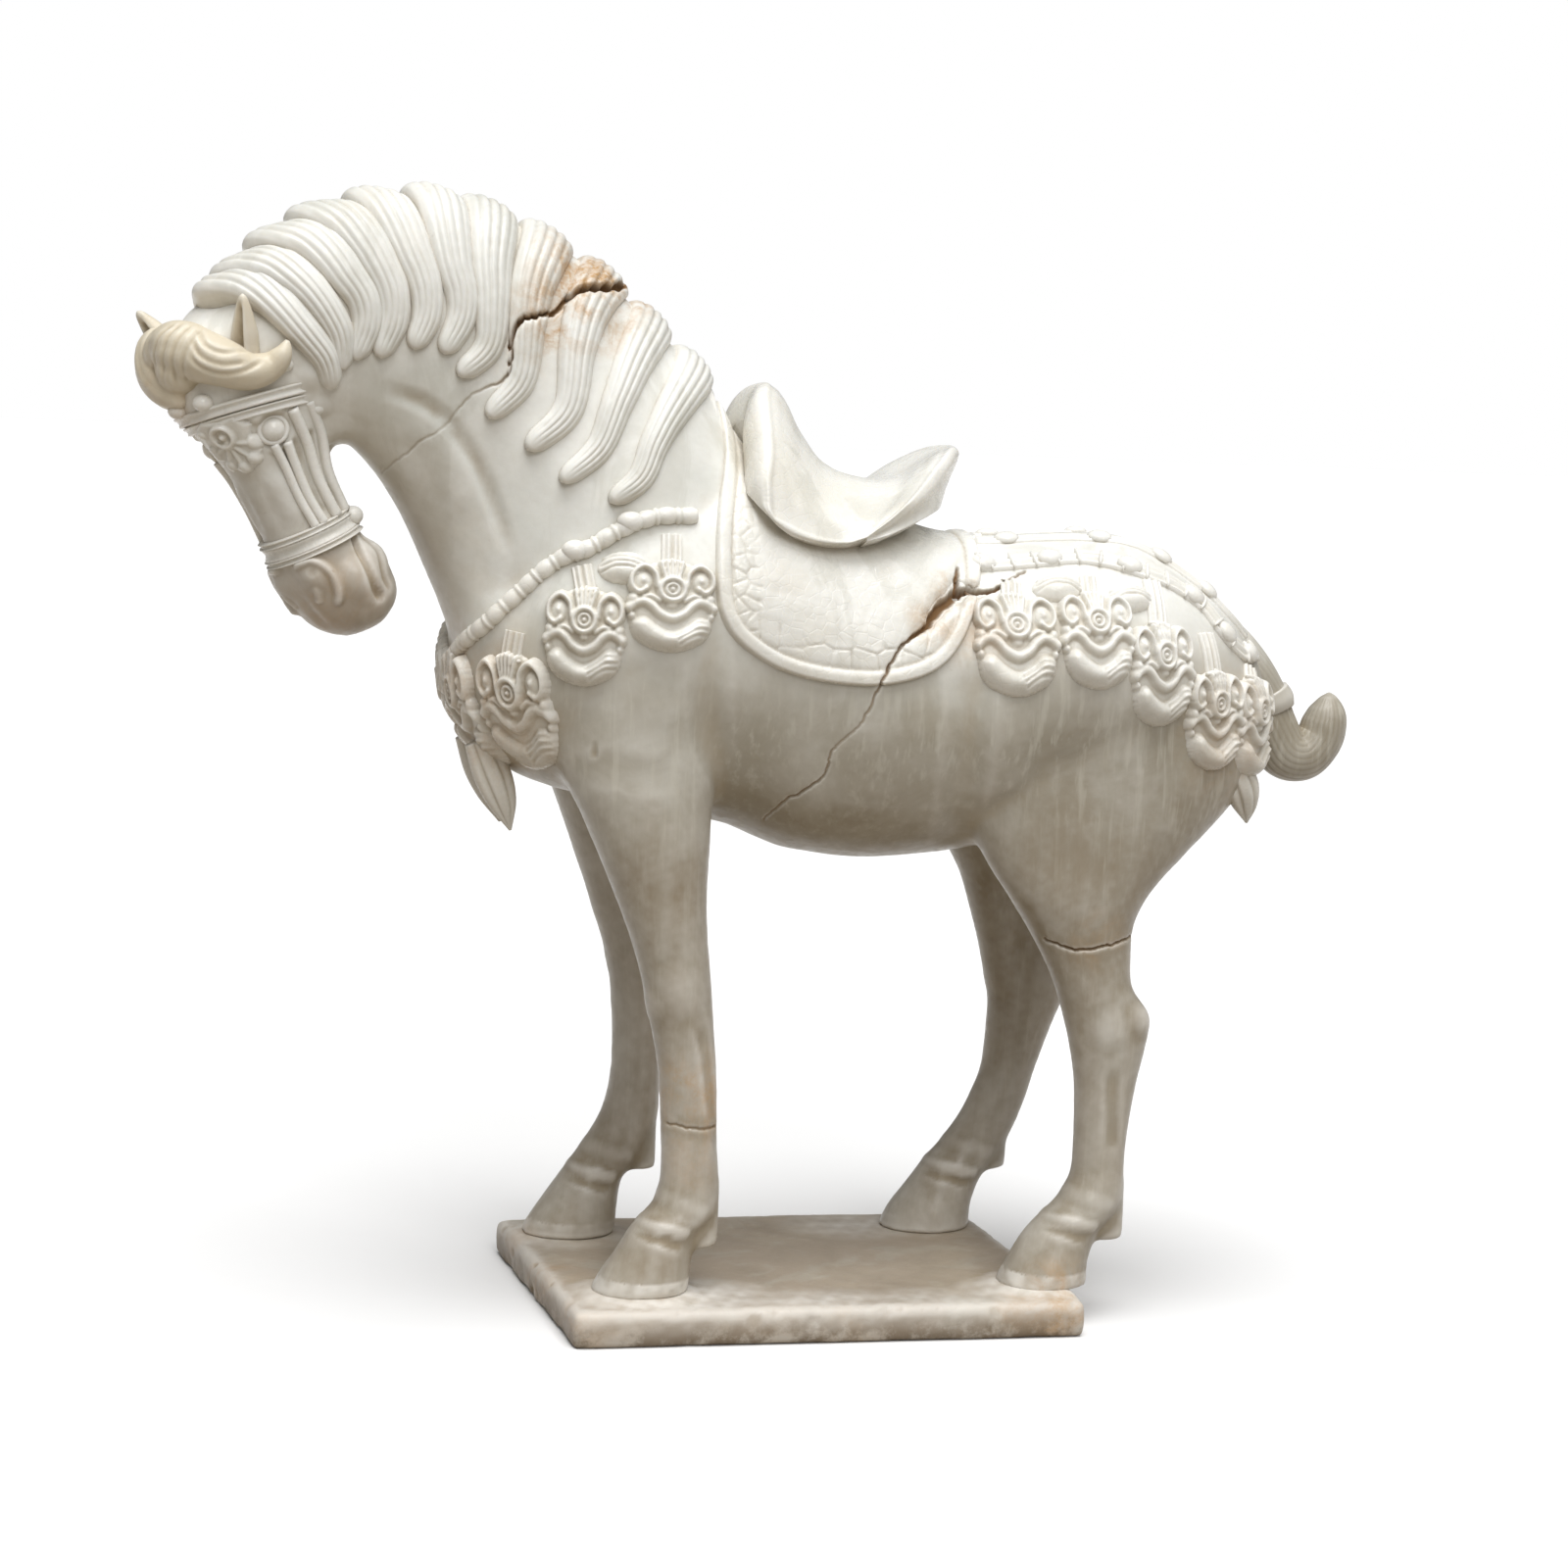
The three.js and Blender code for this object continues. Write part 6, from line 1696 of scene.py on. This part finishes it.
def wear_and_painted_light(group, into, place, colour):
    """What the marks put on the stone: dust in the hollows, painted shade where surfaces close in, a painted
    highlight on raised edges, chalk, stains, breaks and grime at the foot.
    """
    marks = group.nodes.new("ShaderNodeAttribute")
    marks.attribute_name = "marks"
    parts = group.nodes.new("ShaderNodeSeparateColor")
    link(group, marks.outputs["Color"], parts.inputs[0])
    sunk, proud, stain = parts.outputs
    crack = marks.outputs["Alpha"]
    shade = group.nodes.new("ShaderNodeAmbientOcclusion")
    shade.inputs["Distance"].default_value = 0.007
    shade.samples = 6
    at = group.nodes.new("ShaderNodeSeparateXYZ")
    link(group, place, at.inputs[0])

    # Painted shade: darker where other surfaces close in within 7 mm, by ambient occlusion
    painted_contact_shade = times(group, spread(group, shade.outputs["AO"], 0.85, 0.25), 0.8)
    hollow = math_node(group, "MAXIMUM", sunk, painted_contact_shade)
    patch = patches(group, place, 90, (0.30, 0.62, 0.45, 1.0))
    dust_and_painted_shade = math_node(group, "MULTIPLY", times(group, hollow, patch), into["Dust and Shade Amount"], True)
    # The dust colour fills the hollows as dust and, where surfaces close in, as painted shade
    colour = mix_colour(group, dust_and_painted_shade, colour, into["Dust"])
    # Painted highlight: raised edges lighter; on the plinth the same channel is real chalk
    colour = mix_colour(group, times(group, proud, 0.66), colour, (0.93, 0.91, 0.86, 1))
    speck = patches(group, place, 260, (0.70, 0.78), 2, 0.7)
    colour = mix_colour(group, times(group, speck, 0.12), colour, (0.34, 0.27, 0.18, 1))
    blot = patches(group, place, 70, (0.35, 0.66), 5, 0.65, 0.5)
    browned = math_node(group, "MULTIPLY", times(group, stain, blot), into["Stain Amount"], True)
    gritty = patches(group, place, 700, (0.30, 0.60, 0.50, 1.0), 3, 0.7)
    colour = mix_colour(group, times(group, browned, gritty), colour, (0.50, 0.30, 0.125, 1))
    colour = mix_colour(group, crack, colour, (0.20, 0.11, 0.045, 1))
    grime = times(group, spread(group, at.outputs["Z"], 0.0105, 0.0015),
                  patches(group, place, 45, (0.42, 0.56), 6, 0.7), 0.80)
    return mix_colour(group, grime, colour, (0.19, 0.135, 0.08, 1)), dust_and_painted_shade, crack


def marble(name, group, look, amounts):
    """One of the horse's stones, from the shared old marble and its own colours."""
    material = bpy.data.materials.new(name)
    material.use_nodes = True
    tree = material.node_tree
    shader = tree.nodes["Principled BSDF"]
    node = tree.nodes.new("ShaderNodeGroup")
    node.node_tree = group
    for socket, colour in zip(MARBLE_COLOURS, look):
        node.inputs[socket].default_value = (*colour, 1)
    for socket, value in zip(MARBLE_AMOUNTS, amounts):
        node.inputs[socket].default_value = value
    link(tree, node.outputs["Colour"], shader.inputs["Base Color"])
    link(tree, node.outputs["Roughness"], shader.inputs["Roughness"])
    bump = tree.nodes.new("ShaderNodeBump")
    bump.inputs["Strength"].default_value = 0.35
    bump.inputs["Distance"].default_value = 0.0004
    link(tree, node.outputs["Height"], bump.inputs["Height"])
    link(tree, bump.outputs[0], shader.inputs["Normal"])
    shader.inputs["Specular IOR Level"].default_value = 0.45
    shader.inputs["Subsurface Weight"].default_value = 0.12
    shader.inputs["Subsurface Radius"].default_value = (0.004, 0.0035, 0.0028)
    shader.inputs["Subsurface Scale"].default_value = 1.0
    return material


def pin_steel():
    """Plain steel of the pins inside the breaks."""
    material = bpy.data.materials.new("pin_steel")
    material.use_nodes = True
    tree = material.node_tree
    shader = tree.nodes["Principled BSDF"]
    shader.inputs["Metallic"].default_value = 1.0
    place = tree.nodes.new("ShaderNodeTexCoord").outputs["Object"]
    grain = noise(tree, place, 700, 3)
    colour = mix_colour(tree, spread(tree, grain, 0.3, 0.7), (0.50, 0.50, 0.49, 1), (0.64, 0.63, 0.61, 1))
    link(tree, colour, shader.inputs["Base Color"])
    link(tree, spread(tree, grain, 0.3, 0.7, 0.32, 0.5), shader.inputs["Roughness"])
    return material


# Scene settings

class FigureSettings(bpy.types.PropertyGroup):
    """How finely the stones are cut."""
    voxel: FloatProperty(name="Voxel", description="Cell size of the carved stone", default=0.0011,
                         min=0.0008, max=0.003, unit="LENGTH", subtype="DISTANCE")
    detail: FloatProperty(name="Ornament detail", description="Spacing of points on the carved ornaments",
                          default=0.00042, min=0.0003, max=0.002, unit="LENGTH", subtype="DISTANCE")


def colour_setting(name, description, default):
    return FloatVectorProperty(name=name, description=description, size=3, subtype="COLOR", min=0, max=1,
                               default=default)


class StoneSettings(bpy.types.PropertyGroup):
    """Colours of the marble."""
    white: colour_setting("White marble", "Ground colour of the horse", (0.86, 0.86, 0.82))
    cloud: colour_setting("Grey clouds", "Greyer, greener patches in the marble", (0.69, 0.70, 0.65))
    cream: colour_setting("Cream marble", "Ground colour of the trappings", (0.87, 0.865, 0.82))
    tan: colour_setting("Tan marble", "Ground colour of ears and forelock", (0.70, 0.625, 0.48))
    dust: colour_setting("Dust", "Old dust in the hollows", (0.37, 0.30, 0.20))


class StageSettings(bpy.types.PropertyGroup):
    """Floor, lamps and camera."""
    floor_shade: FloatProperty(name="Floor shade", description="How light the floor is", default=0.92,
                               min=0, max=1, subtype="FACTOR")
    top_light: FloatProperty(name="Top light", description="Strength of the soft light from above",
                             default=2.8, min=0, max=10)
    front_light: FloatProperty(name="Front light", description="Strength of the soft light from the front",
                               default=1.0, min=0, max=10)
    world_light: FloatProperty(name="Room light", description="Strength of the light from all round",
                               default=0.22, min=0, max=5)
    camera_place: FloatVectorProperty(name="Camera place", description="Where the camera stands", size=3,
                                      subtype="TRANSLATION", unit="LENGTH",
                                      default=(-0.3008, -1.1793, 0.3262))
    camera_turn: FloatVectorProperty(name="Camera turn", description="Azimuth, elevation and roll", size=3,
                                     subtype="EULER", unit="ROTATION",
                                     default=(-0.244346, 0.118682, 0.043633))
    lens: FloatProperty(name="Lens", description="Focal length of the camera, in millimetres",
                        default=81.0, min=10, max=300)


STONES = {}


def stone(name):
    """The named marble, made the first time it is asked for."""
    if name not in STONES:
        look = bpy.context.scene.horse_stone
        group = bpy.data.node_groups.get("old_marble") or marble_group()
        dust = tuple(look.dust)
        looks = {
            "white_marble": ((tuple(look.white), tuple(look.cloud), dust), (0.7, 1.0, 0.05, 0.33, 1.0)),
            "cream_marble": ((tuple(look.cream), (0.80, 0.775, 0.69), dust), (0.55, 1.0, 0.25, 0.26, 0.35)),
            "tan_marble": ((tuple(look.tan), (0.46, 0.37, 0.25), dust), (0.85, 0.8, 0.15, 0.36, 0.0)),
            "plinth_marble": (((0.42, 0.345, 0.265), (0.29, 0.235, 0.175), dust),
                              (0.9, 0.75, 0.1, 0.45, 0.1)),
        }
        STONES[name] = marble(name, group, *looks[name])
    return STONES[name]


GROUND = Ground()


def sun_lamp(name, toward, spread, strength):
    data = bpy.data.lights.new(name, "SUN")
    data.angle = spread
    data.energy = strength
    lamp = bpy.data.objects.new(name, data)
    lamp.location = Vector(toward) * 2
    lamp.rotation_euler = (-Vector(toward)).to_track_quat("-Z", "Y").to_euler()
    bpy.context.scene.collection.objects.link(lamp)


def build_floor(shade):
    """A pale floor that throws a little warm light on the stone."""
    size = 12.0 / MM
    corners = [(-size, -size, 0), (size, -size, 0), (size, size, 0), (-size, size, 0)]
    floor = mesh_object("floor", corners, [(0, 1, 2, 3)])
    paper = bpy.data.materials.new("floor_paper")
    paper.use_nodes = True
    tree = paper.node_tree
    shader = tree.nodes["Principled BSDF"]
    path = tree.nodes.new("ShaderNodeLightPath").outputs
    seen = math_node(tree, "MAXIMUM", path["Is Camera Ray"], path["Is Glossy Ray"])
    seen = math_node(tree, "MAXIMUM", seen, path["Is Transmission Ray"])
    grain = noise(tree, tree.nodes.new("ShaderNodeTexCoord").outputs["Object"], 90, 3)
    pale = mix_colour(tree, grain, (shade, shade, shade, 1), (shade * 0.99,) * 3 + (1,))
    link(tree, mix_colour(tree, seen, (0.30, 0.26, 0.21, 1), pale), shader.inputs["Base Color"])
    shader.inputs["Roughness"].default_value = 0.95
    shader.inputs["Specular IOR Level"].default_value = 0.1
    floor.data.materials.append(paper)


def build_room(scene, strength):
    """Weak light from all round, seen as plain white by the camera."""
    world = bpy.data.worlds.new("white_room")
    scene.world = world
    world.use_nodes = True
    tree = world.node_tree
    room = tree.nodes["Background"]
    room.inputs["Color"].default_value = (1.0, 0.99, 0.97, 1)
    room.inputs["Strength"].default_value = strength
    white = tree.nodes.new("ShaderNodeBackground")
    white.inputs["Color"].default_value = (1, 1, 1, 1)
    white.inputs["Strength"].default_value = 1.0
    path = tree.nodes.new("ShaderNodeLightPath").outputs
    seen = math_node(tree, "MAXIMUM", path["Is Camera Ray"], path["Is Transmission Ray"])
    mix = tree.nodes.new("ShaderNodeMixShader")
    link(tree, seen, mix.inputs[0])
    link(tree, room.outputs[0], mix.inputs[1])
    link(tree, white.outputs[0], mix.inputs[2])
    link(tree, mix.outputs[0], tree.nodes["World Output"].inputs[0])


def build_camera(scene, look):
    """The camera of the photo, turned by azimuth, elevation and roll."""
    azimuth, elevation, roll = look.camera_turn
    level = np.cos(elevation)
    back = Vector((np.sin(azimuth) * level, -np.cos(azimuth) * level, np.sin(elevation)))
    right = Vector((np.cos(azimuth), np.sin(azimuth), 0))
    up = back.cross(right)
    turned_right = right * np.cos(roll) + up * np.sin(roll)
    turned_up = up * np.cos(roll) - right * np.sin(roll)
    data = bpy.data.cameras.new("photo_camera")
    data.lens = look.lens
    data.sensor_width = 36.0
    data.clip_start = 0.05
    data.clip_end = 20
    camera = bpy.data.objects.new("photo_camera", data)
    scene.collection.objects.link(camera)
    turn = Matrix((turned_right, turned_up, back)).transposed().to_4x4()
    camera.matrix_world = Matrix.Translation(Vector(look.camera_place)) @ turn
    scene.camera = camera


class OBJECT_OT_horse_body(bpy.types.Operator):
    """Carve the horse, its breaks, hooves and face in white marble"""
    bl_idname = "object.horse_body"
    bl_label = "Horse"
    bl_options = {"REGISTER", "UNDO"}

    def execute(self, context):
        GROUND.add(build_body(context.scene.horse_figure.voxel / MM))
        return {"FINISHED"}


class OBJECT_OT_horse_mane(bpy.types.Operator):
    """Carve the locks of the mane on both sides of the neck break"""
    bl_idname = "object.horse_mane"
    bl_label = "Mane"
    bl_options = {"REGISTER", "UNDO"}

    def execute(self, context):
        build_mane("mane_front", MANE_FRONT)
        build_mane("mane_rear", MANE_REAR)
        return {"FINISHED"}


class OBJECT_OT_horse_hair(bpy.types.Operator):
    """Carve the twisted forelock, the ears and the tied tail"""
    bl_idname = "object.horse_hair"
    bl_label = "Forelock, ears and tail"
    bl_options = {"REGISTER", "UNDO"}

    def execute(self, context):
        build_forelock(GROUND)
        build_ear("near_ear", (-199, -38, 322), (-201, -42.5, 340.5), 4.7, 4.2)
        build_ear("off_ear", (-218, -4, 319), (-231.5, -4, 333.8), 5.2, 4.4)
        build_tail()
        return {"FINISHED"}


class OBJECT_OT_horse_saddle(bpy.types.Operator):
    """Lay the saddle cloth over the back and set the saddle on it"""
    bl_idname = "object.horse_saddle"
    bl_label = "Saddle and cloth"
    bl_options = {"REGISTER", "UNDO"}

    def execute(self, context):
        GROUND.add(build_cloth(GROUND))
        build_saddle(GROUND)
        return {"FINISHED"}


class OBJECT_OT_horse_straps(bpy.types.Operator):
    """Lay the beaded breast strap and the straps of the rump"""
    bl_idname = "object.horse_straps"
    bl_label = "Straps"
    bl_options = {"REGISTER", "UNDO"}

    def execute(self, context):
        build_straps(GROUND)
        return {"FINISHED"}


class OBJECT_OT_horse_ornaments(bpy.types.Operator):
    """Hang the carved pendants and tassels from the straps"""
    bl_idname = "object.horse_ornaments"
    bl_label = "Pendants and tassels"
    bl_options = {"REGISTER", "UNDO"}

    def execute(self, context):
        build_pendants(GROUND, context.scene.horse_figure.detail / MM)
        return {"FINISHED"}


class OBJECT_OT_horse_bridle(bpy.types.Operator):
    """Set the bridle, the forehead plaque and the eyes on the head"""
    bl_idname = "object.horse_bridle"
    bl_label = "Bridle and eyes"
    bl_options = {"REGISTER", "UNDO"}

    def execute(self, context):
        build_bridle()
        build_plaque(GROUND)
        return {"FINISHED"}


class OBJECT_OT_horse_plinth(bpy.types.Operator):
    """Cut the worn plinth and finish the steel pins inside the breaks"""
    bl_idname = "object.horse_plinth"
    bl_label = "Plinth and pins"
    bl_options = {"REGISTER", "UNDO"}

    def execute(self, context):
        build_plinth(context.scene.horse_figure.voxel / MM)
        steel = pin_steel()
        for name in PINS:
            pin = bpy.data.objects[name]
            pin.data.materials.clear()
            pin.data.materials.append(steel)
        return {"FINISHED"}


class OBJECT_OT_horse_stage(bpy.types.Operator):
    """Lay the floor, light the figure softly and set the camera"""
    bl_idname = "object.horse_stage"
    bl_label = "Stage"
    bl_options = {"REGISTER", "UNDO"}

    def execute(self, context):
        look = context.scene.horse_stage
        build_floor(look.floor_shade)
        build_room(context.scene, look.world_light)
        sun_lamp("top_light", (-0.02, -0.26, 1.0), 0.8, look.top_light)
        sun_lamp("front_light", (0.05, -1.0, 0.75), 0.5, look.front_light)
        build_camera(context.scene, look)
        context.scene.view_settings.view_transform = "Standard"
        return {"FINISHED"}


class VIEW3D_PT_horse_figure(bpy.types.Panel):
    """Buttons and settings of the horse figurine"""
    bl_idname = "VIEW3D_PT_horse_figure"
    bl_label = "Horse figurine"
    bl_space_type = "VIEW_3D"
    bl_region_type = "UI"
    bl_category = "Horse"

    def draw(self, context):
        layout, scene = self.layout, context.scene
        for operator in OPERATORS:
            layout.operator(operator.bl_idname)
        for settings in (scene.horse_figure, scene.horse_stone, scene.horse_stage):
            box = layout.box()
            for name in settings.__annotations__:
                box.prop(settings, name)


OPERATORS = (OBJECT_OT_horse_stage, OBJECT_OT_horse_body, OBJECT_OT_horse_mane, OBJECT_OT_horse_hair,
             OBJECT_OT_horse_saddle, OBJECT_OT_horse_straps, OBJECT_OT_horse_ornaments,
             OBJECT_OT_horse_bridle, OBJECT_OT_horse_plinth)
CLASSES = (FigureSettings, StoneSettings, StageSettings, *OPERATORS, VIEW3D_PT_horse_figure)


def register():
    for cls in CLASSES:
        bpy.utils.register_class(cls)
    bpy.types.Scene.horse_figure = PointerProperty(type=FigureSettings)
    bpy.types.Scene.horse_stone = PointerProperty(type=StoneSettings)
    bpy.types.Scene.horse_stage = PointerProperty(type=StageSettings)


def unregister():
    for name in ("horse_figure", "horse_stone", "horse_stage"):
        delattr(bpy.types.Scene, name)
    for cls in reversed(CLASSES):
        bpy.utils.unregister_class(cls)


def main():
    register()
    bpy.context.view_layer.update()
    bpy.ops.object.horse_stage()
    bpy.ops.object.horse_body()
    bpy.ops.object.horse_mane()
    bpy.ops.object.horse_hair()
    bpy.ops.object.horse_saddle()
    bpy.ops.object.horse_straps()
    bpy.ops.object.horse_ornaments()
    bpy.ops.object.horse_bridle()
    bpy.ops.object.horse_plinth()


if __name__ == "__main__":
    main()
